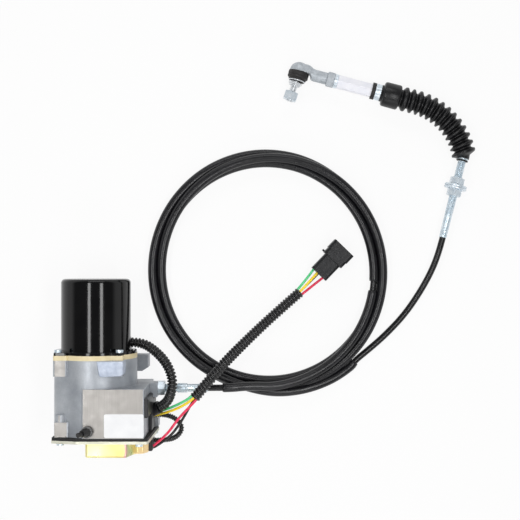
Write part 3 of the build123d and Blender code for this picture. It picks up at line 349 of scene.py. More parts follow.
cast_joint = plain_finish("cast_joint", (162, 169, 175), (196, 202, 208), 0.25, (0.4, 0.56), cloud=4.0,
                          grain=0.6, grain_depth=0.06, edge_radius=0.5, edge_colour=(206, 211, 216))
core_iron = plain_finish("core_iron", (92, 94, 98), (122, 124, 128), 1.0, (0.35, 0.5), cloud=4.0)
copper = plain_finish("copper", (168, 92, 52), (196, 116, 70), 1.0, (0.25, 0.4), cloud=3.0)
magnet_grey = plain_finish("magnet_grey", (54, 54, 56), (70, 70, 72), 0.2, (0.5, 0.7), cloud=4.0)
bronze = plain_finish("bronze", (158, 118, 66), (182, 142, 88), 1.0, (0.35, 0.5), cloud=4.0)
carbon = plain_finish("carbon", (30, 30, 31), (44, 44, 45), 0.1, (0.5, 0.65), cloud=2.0)
bellows_rubber = plain_finish("bellows_rubber", (7, 7, 9), (15, 15, 18), 0.0, (0.3, 0.42), cloud=9.0,
                              grain=0.9, grain_depth=0.006, Specular_IOR_Level=0.42)
label_white = plain_finish("label_white", (226, 227, 229), (236, 237, 238), 0.0, (0.42, 0.55), cloud=12.0,
                           grain=0.8, grain_depth=0.01)
pad_aluminium = plain_finish("pad_aluminium", (160, 170, 188), (192, 200, 214), 0.25, (0.36, 0.5),
                             cloud=5.0, grain=1.4, grain_depth=0.12, edge_radius=0.6,
                             edge_colour=(208, 213, 222))
plate_zinc = plain_finish("plate_zinc", (200, 200, 180), (230, 229, 214), 0.3, (0.34, 0.46), cloud=16.0,
                          grain=0.8, grain_depth=0.006, edge_radius=0.3, edge_colour=(240, 239, 228))
brass = plain_finish("brass", (206, 200, 176), (222, 216, 196), 1.0, (0.22, 0.34), cloud=3.0)


def cast_finish():
    """Die-cast aluminium, satin blue-grey, warmer and brushed where its front faces are machined."""
    finish = Finish("cast_aluminium", 0.35)
    height = finish.along("Z")
    left = finish.math("SUBTRACT", motor_x, finish.along("X"))
    left_lugs = finish.math("MULTIPLY", finish.span(left, 0.0, 1.0, *lug_reach),
                            finish.span(height, 0.0, 1.0, *lug_heights))
    front = finish.math("MAXIMUM", finish.span(height, 0.0, 1.0, *front_heights), left_lugs)
    machined = finish.math("MULTIPLY", front, finish.span(finish.facing("Z"), 0.0, 1.0, *squarely))
    cloud = finish.ramp(finish.noise(20.0), [(0.3, colour(148, 153, 160)), (0.7, colour(179, 183, 188))])
    speck = finish.span(finish.noise(1.6, 6.0), 0.0, 0.22)
    cast = finish.mix(speck, cloud, colour(122, 128, 136))
    scratches = finish.noise(0.7, 5.0, 0.7, stretch=(1, 45, 1))
    patches = finish.mix(finish.noise(14.0), colour(154, 150, 146), colour(178, 175, 171))
    brushed = finish.mix(finish.span(scratches, 0.0, 0.45), patches, colour(134, 130, 126))
    mask = finish.edge(0.5)
    shade = finish.mix(machined, cast, brushed)
    finish.base(finish.mix(mask, shade, colour(196, 202, 210)))
    finish.rough(finish.span(finish.noise(6.0, 6.0), 0.34, 0.5))
    finish.bump(finish.noise(1.1, 6.0, 0.7), 0.06, finish.math("SUBTRACT", 1.0, machined))
    finish.bump(scratches, 0.02, machined)
    return finish.done()


def chromate_finish():
    """Yellow chromate on steel: smooth pale gold, turning pink and green beyond the first bend."""
    finish = Finish("chromate", 0.5)
    slow = finish.noise(30.0, 1.0, 0.3)
    bends = finish.span(finish.along("X"), 0.0, 0.36, chromate_bend, chromate_bend + 9.0)
    stops = [(0.34, colour(244, 234, 168)), (0.46, colour(232, 216, 132)), (0.54, colour(238, 206, 144)),
             (0.61, colour(230, 170, 178)), (0.69, colour(172, 192, 128)), (0.78, colour(236, 220, 138)),
             (0.92, colour(240, 212, 158))]
    finish.base(finish.ramp(finish.math("ADD", slow, bends), stops))
    finish.rough(finish.span(finish.noise(12.0, 2.0), 0.26, 0.34))
    finish.edge(0.3)
    finish.bump(finish.noise(0.6, 4.0), 0.01)
    return finish.done()


cast_aluminium = cast_finish()
chromate = chromate_finish()


# Camera, lights, floor

def add_camera():
    data = bpy.data.cameras.new("camera")
    data.sensor_width = sensor_width
    data.lens = sensor_width * camera_place[2] / view_width
    data.clip_start = 0.05
    data.clip_end = 20.0
    camera = link_object("camera", data)
    camera.location = Vector(camera_place) * mm
    bpy.context.scene.camera = camera


def add_lamp(name, place, target, size, power):
    """Soft rectangular lamp, places in millimetres, aimed at the target, its second side along Y."""
    data = bpy.data.lights.new(name, "AREA")
    data.shape = "RECTANGLE"
    data.size = size[0] * mm
    data.size_y = size[1] * mm
    data.energy = power
    lamp = link_object(name, data)
    lamp.location = Vector(place) * mm
    back = (Vector(place) - Vector(target)).normalized()
    across = Vector((0.0, 1.0, 0.0)).cross(back).normalized()
    lamp.rotation_euler = Matrix((across, back.cross(across), back)).transposed().to_euler()


def seen_directly(tree):
    """1 for rays from the camera, from a mirror or through glass, else 0."""
    path = add_node(tree, "LightPath")
    total = path.outputs["Is Camera Ray"]
    for ray in ("Is Glossy Ray", "Is Transmission Ray"):
        node = add_node(tree, "Math")
        node.operation = "ADD"
        node.use_clamp = True
        feed(node, total, 0)
        feed(node, path.outputs[ray], 1)
        total = node.outputs["Value"]
    return total


def add_world():
    """White round the horizon, where it is seen, and a grey ceiling that dark gloss mirrors."""
    world = bpy.data.worlds.new("studio")
    bpy.context.scene.world = world
    world.use_nodes = True
    tree = world.node_tree
    direction = add_node(tree, "TexCoord").outputs["Generated"]
    split = add_node(tree, "SeparateXYZ", Vector=direction)
    ramp = add_node(tree, "ValToRGB", Fac=split.outputs["Z"])
    low, high = ramp.color_ramp.elements
    low.position = horizon_edge
    low.color = white
    high.position = ceiling_edge
    high.color = (ceiling_level, ceiling_level, ceiling_level, 1.0)
    feed(tree.nodes["Background"], ramp.outputs["Color"], "Color")
    feed(tree.nodes["Background"], 1.0, "Strength")


def add_floor():
    """Pale floor, white where it is seen, with a faint shadow of the part."""
    corners = [(camera_place[0] + x * floor_reach, camera_place[1] + y * floor_reach, floor_height)
               for x, y in ((-1, -1), (1, -1), (1, 1), (-1, 1))]
    floor = mesh_piece("floor", corners, [(0, 1, 2, 3)], smooth=False)
    material = bpy.data.materials.new("floor_white")
    material.use_nodes = True
    tree = material.node_tree
    tree.nodes.remove(tree.nodes["Principled BSDF"])
    paper = add_node(tree, "BsdfDiffuse", Color=(floor_grey, floor_grey, floor_grey, 1.0))
    glow = add_node(tree, "Emission", Color=white, Strength=1.0)
    share = add_node(tree, "Math")
    share.operation = "MULTIPLY"
    feed(share, seen_directly(tree), 0)
    feed(share, floor_glow, 1)
    blend = add_node(tree, "MixShader", Fac=share.outputs["Value"])
    feed(blend, paper.outputs["BSDF"], 1)
    feed(blend, glow.outputs["Emission"], 2)
    feed(tree.nodes["Material Output"], blend.outputs["Shader"], "Surface")
    floor.data.materials.append(material)


add_camera()
add_world()
add_floor()
add_lamp("strip_left", (-200.0, 20.0, 900.0), motor_spot, (125.0, 620.0), 2.8)
add_lamp("strip_right", (424.0, 20.0, 900.0), motor_spot, (145.0, 620.0), 3.1)
add_lamp("soft_back", (150.0, 1000.0, 700.0), coil_spot, (900.0, 260.0), 2.6)
add_lamp("soft_front", (150.0, -800.0, 700.0), coil_spot, (900.0, 260.0), 2.2)


# Cords: curves on NURBS splines, and tubes that follow lines read from such splines

def route_curve(name, points, radius):
    """Round cord on a smooth spline that the route's points control."""
    data = bpy.data.curves.new(name, "CURVE")
    data.dimensions = "3D"
    spline = data.splines.new("NURBS")
    spline.points.add(len(points) - 1)
    for target, place in zip(spline.points, points):
        target.co = (place[0] * mm, place[1] * mm, place[2] * mm, 1.0)
    spline.order_u = 3
    spline.use_endpoint_u = True
    spline.resolution_u = 14
    data.bevel_depth = radius * mm
    data.bevel_resolution = 7
    data.use_fill_caps = True
    return link_object(name, data)


def centre_line(points):
    """Points along the smooth spline of a route, in millimetres."""
    guide = route_curve("guide", points, 0.0)
    mesh = bpy.data.meshes.new_from_object(guide)
    line = [vertex.co / mm for vertex in mesh.vertices]
    bpy.data.meshes.remove(mesh)
    bpy.data.objects.remove(guide)
    return line


def line_length(line):
    return sum((b - a).length for a, b in zip(line, line[1:]))


def spaced(line, start, end, step):
    """Points from one distance along a line to another, a step apart."""
    count = max(2, round((end - start) / step))
    wanted = [start + (end - start) * i / count for i in range(count + 1)]
    places = []
    travelled = 0.0
    index = 0
    for distance in wanted:
        gap = (line[index + 1] - line[index]).length
        while travelled + gap < distance and index < len(line) - 2:
            travelled += gap
            index += 1
            gap = (line[index + 1] - line[index]).length
        share = min(1.0, (distance - travelled) / gap)
        places.append(line[index].lerp(line[index + 1], share))
    return places


def cross_frames(places):
    """Two directions across a line at each of its points, turned as little as possible."""
    along = []
    for i in range(len(places)):
        first = places[max(0, i - 1)]
        last = places[min(len(places) - 1, i + 1)]
        along.append((last - first).normalized())
    side = along[0].orthogonal().normalized()
    frames = []
    for i, direction in enumerate(along):
        if i:
            side = along[i - 1].rotation_difference(direction) @ side
        side = (side - direction * side.dot(direction)).normalized()
        frames.append((side, direction.cross(side)))
    return frames


def tube(name, places, outer, inner, sides=36):
    """Tube along a line, its outer radius given for each point, its wall closed at both ends."""
    bore_step = 8
    frames = cross_frames(places)
    rings = [(i, outer[i]) for i in range(len(places))]
    rings += [(i, inner) for i in range(len(places) - 1, -1, -bore_step)]
    if rings[-1][0]:
        rings.append((0, inner))
    points = []
    for i, radius in rings:
        side, up = frames[i]
        for k in range(sides):
            turn = 2 * pi * k / sides
            points.append(places[i] + (side * cos(turn) + up * sin(turn)) * radius)
    faces = [(a, d, c, b) for a, b, c, d in ring_faces(len(rings), sides)]
    return mesh_piece(name, points, faces)


def ridge(share):
    """Height of a corrugation over one pitch: a rounded ring between two flat grooves."""
    half_width = 0.36
    across = min(1.0, abs(share - 0.5) / half_width)
    return sqrt(1.0 - across * across)


def corrugated(name, points, radius, depth, pitch, inner):
    """Corrugated conduit on a route, and the line that it follows."""
    line = centre_line(points)
    length = line_length(line)
    count = round(length / pitch)
    samples = 10
    places = spaced(line, 0.0, length, length / (count * samples))
    heights = [ridge((i % samples) / samples) for i in range(len(places))]
    outer = [radius - depth * (1.0 - height) for height in heights]
    return tube(name, places, outer, inner), line, length


def around_coil(angle, radius, height):
    return (coil_x + radius * cos(radians(angle)), coil_y + radius * sin(radians(angle)), height)


def coil_route():
    """Three turns of the cable, whose strands change places on the way round."""
    # Share of the points' radius that the spline keeps
    closing = 0.75 + 0.25 * cos(radians(coil_step))
    points = []
    for k in range(coil_count):
        angle = coil_start + coil_step * k
        swing = radians(90.0 + (angle - 270.0) * 2.0 / 3.0)
        strands = [swing + 2.0 * pi * j / 3.0 for j in range(3)]
        middle = sleeve_radius + coil_gap + strand_spread * max(-sin(s) for s in strands)
        radius = coil_radius - coil_swing * cos(radians(2.0 * angle)) + strand_spread * cos(swing)
        height = middle + strand_spread * sin(swing)
        if k == 0:
            height += coil_entry_rise
        points.append(around_coil(angle, radius / closing, height))
    return points


lead_in_points = [(102.0, fitting_y, fitting_height), (114.0, fitting_y, fitting_height),
                  (127.5, 3.6, 24.0), (141.0, 4.6, 20.5)]
leaving_places = [(252.0, 115.0, 12.4), (270.0, 119.6, 12.2), (285.0, 122.6, 9.4), (299.0, 125.2, 5.6),
                  (311.0, 126.0, 4.7)]
coil_leaving = [around_coil(*place) for place in leaving_places]
lead_out_points = [(247.0, 27.5, 4.2), (264.5, 41.5, 3.4), (279.0, 54.5, 3.4), (296.5, 73.0, 3.6),
                   (311.5, 95.0, 5.2), (323.0, 117.0, 9.4), tuple(far_start - far_direction * 14.0),
                   tuple(far_start)]
cable_points = lead_in_points + coil_route() + coil_leaving + lead_out_points

motor_conduit_points = [(26.96, 47.7, 24.0), (38.0, 47.7, 24.0), (51.5, 40.0, 30.0), (63.5, 28.5, 38.0),
                        (69.5, 14.5, 43.5), (68.5, 1.5, 43.5), tuple(spout_end + spout_direction * 8.4),
                        tuple(spout_end)]
sensor_conduit_points = [(lead_block_face, -24.0, 15.0), (59.5, -24.0, 15.0), (70.5, -28.5, 12.0),
                         (77.0, -38.0, 12.0), (71.0, -46.5, 17.0), (60.0, -47.5, 26.0),
                         (lead_grommet_face, -47.5, 26.0)]
harness_points = [(90.0, -4.6, 40.0), (113.0, 23.0, 35.0), (140.5, 49.8, 20.0), (168.0, 75.0, 11.5),
                  (192.6, 96.3, 10.5)]


def lead_route(free_points, side, rise, end_side, end_rise):
    """Route of one lead: free points, then beside the conduit's middle, then its place in the connector."""
    offset = connector_left * side + Vector((0.0, 0.0, rise))
    inside = [Vector(point) + offset for point in harness_points]
    end = connector_origin + connector_left * end_side + Vector((0.0, 0.0, end_rise))
    return free_points + inside + [end]


lead_routes = {
    "green": lead_route([(lead_block_face, -21.5, 19.0), (60.0, -18.0, 28.0), (75.5, -10.5, 38.0)],
                        side=2.4, rise=0.3, end_side=6.9, end_rise=0.6),
    "yellow": lead_route([(lead_block_face, -23.5, 24.0), (60.5, -20.6, 30.5), (75.5, -14.2, 38.5)],
                         side=-0.3, rise=1.8, end_side=2.1, end_rise=3.0),
    "red": lead_route([(lead_grommet_face, -50.5, 40.0), (63.0, -41.0, 38.5), (74.5, -24.0, 39.5)],
                      side=-2.7, rise=-0.1, end_side=-5.4, end_rise=0.0),
    "black": lead_route([(lead_grommet_face, -53.0, 34.0), (64.5, -45.0, 33.0), (77.0, -28.5, 33.5)],
                        side=0.0, rise=-1.9, end_side=0.6, end_rise=-3.0),
}


# Throttle cable with its two sleeves
sleeve_start = 14.5
sleeve_end_point = Vector((247.5, 26.5, 4.5))
sleeve_gap = 9.5
sleeve_gap_point = Vector(around_coil(353.0, 106.0, 12.0))

cable = route_curve("throttle_cable", cable_points, cable_radius)
dress(cable, cable_black)
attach(cable, "casing")
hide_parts("cable_lead_in", "cable_coil", "cable_lead_out")
cable_line = centre_line(cable_points)


def distance_to(line, wanted):
    """Distance along a line of its point nearest to the wanted one."""
    nearest = min(range(len(line)), key=lambda i: (line[i] - wanted).length)
    return line_length(line[:nearest + 1])


def sleeve(name, start, end):
    """Length of sleeve on the cable, its ends rolled in a little."""
    places = spaced(cable_line, start, end, 2.0)
    outer = [sleeve_radius] * len(places)
    outer[0] = outer[-1] = sleeve_radius - sleeve_rolled
    piece = tube(name, places, outer, cable_radius + 0.05, sides=28)
    dress(piece, sleeve_charcoal)
    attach(piece, "casing")
    return piece


gap_middle = distance_to(cable_line[:len(cable_line) // 3], sleeve_gap_point)
sleeve_end = distance_to(cable_line, sleeve_end_point)
sleeves = [sleeve("cable_sleeve_first", sleeve_start, gap_middle - sleeve_gap / 2.0),
           sleeve("cable_sleeve_second", gap_middle + sleeve_gap / 2.0, sleeve_end)]


# Conduits

def conduit(node, points, radius, depth, pitch, wall):
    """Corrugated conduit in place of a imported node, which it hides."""
    piece, line, length = corrugated(node + "_rings", points, radius, depth, pitch, radius - depth - wall)
    dress(piece, conduit_black)
    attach(piece, "casing")
    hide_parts(node)


conduit("motor_lead_conduit", motor_conduit_points, motor_conduit_radius, depth=1.5, pitch=3.2, wall=0.4)
conduit("sensor_lead_conduit", sensor_conduit_points, sensor_conduit_radius, depth=0.8, pitch=2.2, wall=0.4)
conduit("harness_conduit", harness_points, harness_radius, depth=1.1, pitch=3.2, wall=0.1)

# Leads
for shade, points in lead_routes.items():
    lead = route_curve("lead_wire_" + shade, points, lead_radius)
    dress(lead, lead_finishes[shade])
    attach(lead, "casing")
    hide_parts("lead_" + shade)
    length = line_length(centre_line(points))


# Turned, threaded and moulded pieces

class Lathe:
    """Mesh of closed turned forms along one axis, gathered into one piece."""

    def __init__(self, origin, direction):
        self.origin = Vector(origin)
        self.direction = Vector(direction).normalized()
        self.side = self.direction.cross(Vector((0.0, 0.0, 1.0))).normalized()
        self.up = self.side.cross(self.direction)
        self.points = []
        self.faces = []

    def place(self, distance, radius, turn):
        across = self.side * cos(turn) + self.up * sin(turn)
        return self.origin + self.direction * distance + across * radius

    def skin(self, rings, closed=False):
        """Faces round the rings, with a cap at each end, or from the last ring to the first where closed."""
        first = len(self.points)
        for ring in rings:
            self.points.extend(ring)
        sides = len(rings[0])
        self.faces += ring_faces(len(rings), sides, first, closed)
        if not closed:
            last = len(self.points) - sides
            self.faces.append(tuple(range(first, first + sides)))
            self.faces.append(tuple(reversed(range(last, last + sides))))

    def turned(self, outline, sides=48, closed=False, start=0.0):
        """Form turned from (distance, radius) pairs, its ends capped or, where closed, its outline a loop."""
        turns = [start + 2 * pi * k / sides for k in range(sides)]
        rings = [[self.place(distance, radius, turn) for turn in turns] for distance, radius in outline]
        self.skin(rings, closed)

    def threaded(self, start, end, crest, pitch):
        """Screw thread between two distances, run out at both ends."""
        sides = 36
        steps = 6
        # Depth as a share of the pitch, and the profile's level and slope over one pitch
        depth = pitch * 0.55
        level = 1.35
        slope = 2.64
        count = round((end - start) / pitch * steps)
        rings = []
        for i in range(count + 1):
            distance = start + (end - start) * i / count
            run_out = min(1.0, (distance - start) / pitch, (end - distance) / pitch)
            ring = []
            for k in range(sides):
                phase = (distance / pitch - k / sides) % 1.0
                height = min(1.0, max(0.0, level - slope * abs(phase - 0.5)))
                radius = crest - depth * (1.0 - height * run_out)
                ring.append(self.place(distance, radius, 2 * pi * k / sides))
            rings.append(ring)
        self.skin(rings)

    def piece(self, name, material, body, slot, sharp=32.0):
        """The gathered mesh as one piece, on a body where one is named, creased where it turns sharply."""
        made = mesh_piece(name, self.points, self.faces)
        turn_faces_out(made.data)
        made.data.set_sharp_from_angle(angle=radians(sharp))
        dress(made, material)
        if body:
            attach(made, body)
        return made


def groove(start, radius, depth, width):
    """Outline of a rolled groove, whose floor has that width."""
    flank = 0.3
    return [(start, radius), (start + flank, radius - depth), (start + flank + width, radius - depth),
            (start + 2 * flank + width, radius)]


# Fitting at the motor: thread, ferrule with rolled ends and tube
thread_crest = 4.05
thread_core = 3.3
thread_pitch = 1.25
ferrule_radius = 4.6
tube_radius = 3.8
hub_start = 42.8
thread_end = 29.7
ferrule_end = thread_end + 9.8
hub_length = ferrule_end + 19.7
motor_hub = Lathe((hub_start, fitting_y, fitting_height), (1.0, 0.0, 0.0))
motor_hub.turned([(0.0, thread_core), (thread_end - 0.2, thread_core)])
motor_hub.threaded(0.4, thread_end - 1.6, thread_crest, thread_pitch)
motor_hub.turned([(thread_end - 1.8, 3.4), (thread_end, 3.5), (thread_end + 0.1, 4.3),
                  (thread_end + 0.5, ferrule_radius), *groove(ferrule_end - 2.6, ferrule_radius, 0.25, 0.4),
                  (ferrule_end - 0.4, ferrule_radius), (ferrule_end, 4.2), (ferrule_end + 0.1, 3.6),
                  (ferrule_end + 0.8, tube_radius), *groove(hub_length - 7.0, tube_radius, 0.3, 0.6),
                  *groove(hub_length - 3.6, tube_radius, 0.3, 0.6), (hub_length - 0.3, tube_radius),
                  (hub_length, 3.5)])
motor_hub_piece = motor_hub.piece("motor_hub_threaded", zinc, "casing", "zinc_steel")
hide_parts("motor_end_hub")

# Fitting at the far end: crimp with two rolled grooves, thread, flange with its rubber ring
crimp_length = 23.6
crimp_radius = 3.7
collar_length = 3.3
far_length = crimp_length + 55.1 + collar_length
collar_start = far_length - collar_length
far_hub = Lathe(far_start, far_direction)
far_hub.turned([(0.0, 3.2), (0.3, 3.6), *groove(3.2, crimp_radius, 0.4, 0.7),
                *groove(7.4, crimp_radius, 0.4, 0.7), (crimp_length - 0.4, crimp_radius),
                (crimp_length, 3.9), (crimp_length + 0.4, 3.4)])
far_hub.turned([(crimp_length, thread_core), (collar_start, thread_core)])
far_hub.threaded(crimp_length + 0.5, collar_start - 0.6, thread_crest, thread_pitch)
far_hub.turned([(collar_start - 0.8, 3.4), (collar_start, 3.5), (collar_start + 0.05, 4.9),
                (collar_start + 0.4, 5.3), (far_length - 0.4, 5.3), (far_length, 5.0)])
far_hub_piece = far_hub.piece("rod_end_hub_threaded", zinc, "casing", "zinc_steel")
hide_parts("rod_end_hub")
ring = Lathe(far_start, far_direction)
ring.turned([(collar_start - 1.1, 4.1), (collar_start - 1.1, 5.4), (collar_start - 0.8, 5.8),
             (collar_start - 0.3, 5.8), (collar_start - 0.02, 5.4), (collar_start - 0.02, 4.1)], closed=True)
ring.piece("rod_end_hub_ring", black_rubber, "casing", "rubber")

# Two washers with rounded rims between the far nuts
washers_start = 49.2
washer_bore = 4.2
washer_radius = 11.0
washer_thickness = 2.2
washers = Lathe(far_start, far_direction)
for near_face in (washers_start, washers_start + washer_thickness):
    far_face = near_face + washer_thickness
    washers.turned([(near_face + 0.01, washer_bore), (near_face + 0.01, washer_radius - 0.7),
                    (near_face + 0.25, washer_radius - 0.2), (near_face + 0.7, washer_radius),
                    (far_face - 0.7, washer_radius), (far_face - 0.25, washer_radius - 0.2),
                    (far_face - 0.01, washer_radius - 0.7), (far_face - 0.01, washer_bore)],
                   sides=64, closed=True)
washer_piece = washers.piece("hub_washers_rounded", zinc_bright, "casing", "zinc_steel")
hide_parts("hub_washers")

# Bellows boot: thirteen pleats whose rims lean towards the hub, then the smooth cuff on the rod.
# The rims are pushed along the boot, forwards near the hub and back near the cuff
pleat_count = 13
pleat_radius = 12.0
pleat_top = 0.46
pleat_shape = [(0.0, 0.0), (0.07, 0.10), (0.17, 0.44), (0.25, 0.76), (0.31, 0.92), (0.38, 0.99),
               (pleat_top, 1.0), (0.54, 0.99), (0.61, 0.92), (0.67, 0.76), (0.75, 0.44), (0.85, 0.10),
               (0.92, 0.0)]
pleat_shift = 1.3
pleat_swing = 2.4
pleat_lean = radians(5.0)
pleat_fade = 0.04
valley_radius = 8.4
lip_radius = 6.2
lip_length = 1.5
lip_bore = 5.35
boot_wall = 1.2
tight_radius = 12.5
tight_turn = radians(28.4)
easy_radius = 66.5
easy_turn = radians(61.0)
rod_run = 15.7
cuff_radius = 12.2
cuff_length = 17.4
cuff_neck_radius = 8.2
cuff_bore = 7.05
cuff_end = cuff_length + 2.2
boot_length = tight_radius * tight_turn + easy_radius * easy_turn + rod_run


def boot_place(distance):
    """Middle of the boot's path at a distance from the hub, and its direction there."""
    heading = radians(far_angle)
    place = far_start + far_direction * far_length
    for radius, turn in ((tight_radius, tight_turn), (easy_radius, easy_turn)):
        part = min(turn, max(0.0, distance / radius))
        centre = place + Vector((-sin(heading), cos(heading), 0.0)) * radius
        heading += part
        place = centre + Vector((sin(heading), -cos(heading), 0.0)) * radius
        distance -= radius * turn
    direction = Vector((cos(heading), sin(heading), 0.0))
    if distance > 0.0:
        place = place + direction * distance
    return place, direction


def pleat_outline():
    """Distance and radius along the pleats: a thick rounded rim between two valleys."""
    outline = [(-lip_length, lip_radius), (0.0, lip_radius)]
    pitch = boot_length / pleat_count
    for number in range(pleat_count):
        start = number * pitch
        low = valley_radius if number else lip_radius + 0.6
        for share, height in pleat_shape:
            valley = low if share < pleat_top else valley_radius
            outline.append((start + share * pitch, valley + (pleat_radius - valley) * height))
    return outline


def bellows_mesh():
    """Boot along its bent path: lip, pleats and cuff outside, and its bore back to the hub."""
    sides = 56
    bore_rings = 24
    up = Vector((0.0, 0.0, 1.0))
    cuff = [(0.0, 9.2), (0.15, 10.6), (0.7, 11.7), (1.8, cuff_radius),
            (cuff_length - 2.2, cuff_radius - 0.15), (cuff_length - 0.9, 11.6), (cuff_length - 0.2, 10.4),
            (cuff_length, 8.9), (cuff_length + 0.4, cuff_neck_radius), (cuff_end - 0.3, cuff_neck_radius),
            (cuff_end, cuff_neck_radius - 0.4), (cuff_end, cuff_bore)]
    outline = pleat_outline() + [(boot_length + distance, radius) for distance, radius in cuff]
    bore = valley_radius - boot_wall
    outline += [(boot_length + cuff_length - 1.0, cuff_bore), (boot_length + 4.0, cuff_bore),
                (boot_length, bore)]
    outline += [(boot_length * i / bore_rings, bore) for i in range(bore_rings - 1, 0, -1)]
    outline += [(0.8, lip_bore), (-lip_length, lip_bore)]
    points = []
    for distance, radius in outline:
        share = min(1.0, max(0.0, distance / boot_length))
        fade = min(1.0, share / pleat_fade, (1.0 - share) / pleat_fade)
        shift = pleat_shift * (1.0 - pleat_swing * share) * fade if radius > bore else 0.0
        lean = pleat_lean * (1.0 - share) * fade
        place, direction = boot_place(max(0.0, distance + shift))
        if distance < 0.0:
            place = place + direction * distance
        elif radius > lip_radius:
            direction = boot_place(max(distance + shift, tight_radius * tight_turn))[1]
        tilted = left_of(direction) * cos(lean) - direction * sin(lean)
        for k in range(sides):
            turn = 2 * pi * k / sides
            points.append(place + (tilted * cos(turn) + up * sin(turn)) * radius)
    piece = mesh_piece("bellows_pleats", points, ring_faces(len(outline), sides))
    turn_faces_out(piece.data)
    return piece


rod_start, rod_direction = boot_place(boot_length)
bellows = bellows_mesh()
dress(bellows, bellows_rubber)
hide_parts("bellows_boot")
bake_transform(bellows)

# Rod: sleeve whose six soft flats meet in an edge at the front, its end ring and screw thread
sleeve_from = cuff_end + 5.6
sleeve_to = sleeve_from + 38.2
nut_from = sleeve_to + 3.6
shank_from = nut_from + 7.2
rod_form = Lathe(rod_start, rod_direction)
rod_form.turned([(sleeve_from + 3.4, 6.5), (sleeve_from + 3.7, 7.1), (sleeve_to - 0.5, 7.1),
                 (sleeve_to - 0.1, 6.6)], sides=6, start=pi / 6)
rod_form.turned([(sleeve_from + 0.05, 6.0), (sleeve_from + 3.5, 6.0)])
rod_form.turned([(nut_from - 0.3, 3.2), (shank_from + 13.6, 3.2)])
rod_form.threaded(nut_from - 0.2, shank_from + 13.8, 3.9, 1.0)
rod_piece = rod_form.piece("rod_sleeve_turned", sleeve_zinc, "rod", "zinc_steel")
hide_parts("rod_sleeve")
end_ring = Lathe(rod_start, rod_direction)
end_ring.turned([(sleeve_to - 0.1, 5.6), (sleeve_to - 0.1, 6.4), (sleeve_to + 0.3, 6.9),
                 (nut_from - 0.5, 7.05), (nut_from - 0.1, 6.6), (nut_from - 0.1, 5.6)])
end_ring.piece("rod_sleeve_ring", zinc_bright, "rod", "zinc_steel")

# Ball joint's casting: domed head turned about the mouth, and a shank that swells into it
ball_centre = rod_start + rod_direction * (shank_from + 28.3)
mouth_direction = left_of(rod_direction)
dome_depth = 9.1
head_radius = 9.6
dome_fullness = 0.86
dome_angles = [radians(angle) for angle in (*range(4, 85, 8), 90)]

# Rings of the shank: distance from the ball, reach to the back and to the mouth, half depth
shank_sections = [(1.0, 7.0, 0.2, 5.6), (3.0, 8.5, 0.2, 7.0), (6.0, 8.75, 0.2, 7.6), (8.0, 8.6, 0.2, 7.5),
                  (9.5, 8.2, 0.25, 7.2), (10.6, 7.75, 0.5, 6.9), (11.4, 7.3, 1.8, 6.6),
                  (12.0, 6.95, 3.4, 6.4), (12.6, 6.6, 4.6, 6.25), (13.3, 6.3, 5.4, 6.1),
                  (14.2, 6.05, 5.8, 6.0), (15.5, 5.9, 5.9, 5.9), (27.6, 5.9, 5.9, 5.9),
                  (28.2, 5.6, 5.6, 5.6)]


def shank_ring(distance, back, mouth, depth):
    """Points round the shank, at a distance from the ball."""
    sides = 40
    ring = []
    for k in range(sides):
        turn = 2 * pi * k / sides
        reach = mouth if cos(turn) > 0.0 else back
        ring.append(ball_centre - rod_direction * distance + mouth_direction * (reach * cos(turn))
                    + Vector((0.0, 0.0, depth * sin(turn))))
    return ring


joint = Lathe(ball_centre, mouth_direction)
dome = [(-dome_depth * cos(angle), head_radius * sin(angle) ** dome_fullness) for angle in dome_angles]
joint.turned(dome + [(1.6, head_radius), (2.2, 9.45), (2.4, 9.1), (2.4, 6.4)])
joint.skin([shank_ring(*section) for section in shank_sections])
joint_piece = joint.piece("ball_joint_casting", cast_joint, "rod", "cast_joint", sharp=40.0)
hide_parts("ball_joint_housing")

# Ball joint's rubber: a skirt on the cast head and a folded bulb up to the stud's collar
skirt_rim = 2.6
skirt_top = 4.5
skirt = Lathe(ball_centre, mouth_direction)
skirt.turned([(skirt_rim, 6.0), (skirt_rim, 9.2), (2.4, 9.75), (0.7, 9.75), (0.5, 9.95), (0.8, 10.15),
              (skirt_rim, 10.2), (4.1, 10.1), (skirt_top, 9.9), (skirt_top, 8.6), (4.2, 6.0)], closed=True)
skirt_piece = skirt.piece("dust_seal_skirt", black_rubber, None, "rubber", sharp=180.0)
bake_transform(skirt_piece)
bulb = Lathe(ball_centre, mouth_direction)
bulb.turned([(4.2, 6.0), (4.4, 8.6), (skirt_top, 9.9), (5.2, 10.2), (6.2, 10.15), (7.0, 9.7), (7.4, 9.0),
             (7.7, 8.5), (8.1, 8.7), (8.6, 8.6), (8.95, 8.0), (9.15, 7.42), (10.25, 7.42), (10.5, 7.0),
             (10.5, 4.6), (9.0, 4.6)], closed=True)
bulb_piece = bulb.piece("dust_seal_bulb", black_rubber, "seal", "rubber", sharp=180.0)
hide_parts("dust_seal")

# Cast pad on the front of the round housing, under the end plate
pad_outline = [(3.2, 34.9), (27.0, 34.9), (27.5, 34.2), (27.5, 23.4), (26.9, 22.1), (25.2, 21.0),
               (22.0, 20.6), (7.0, 20.2), (5.4, 20.6), (4.4, 22.4), (2.8, 32.6), (2.6, 34.3)]
pad_back = 60.0
pad_front = 81.7
pad_levels = [(pad_back, 0.0), (pad_front - 1.3, 0.0), (pad_front - 0.6, 0.25), (pad_front - 0.15, 0.75),
              (pad_front, 1.6)]


def inward(outline, amount):
    """Outline moved towards its middle by about that amount."""
    middle = sum((Vector(p) for p in outline), Vector((0.0, 0.0))) / len(outline)
    moved = []
    for point in outline:
        away = Vector(point) - middle
        moved.append(middle + away * (1.0 - amount / away.length))
    return moved


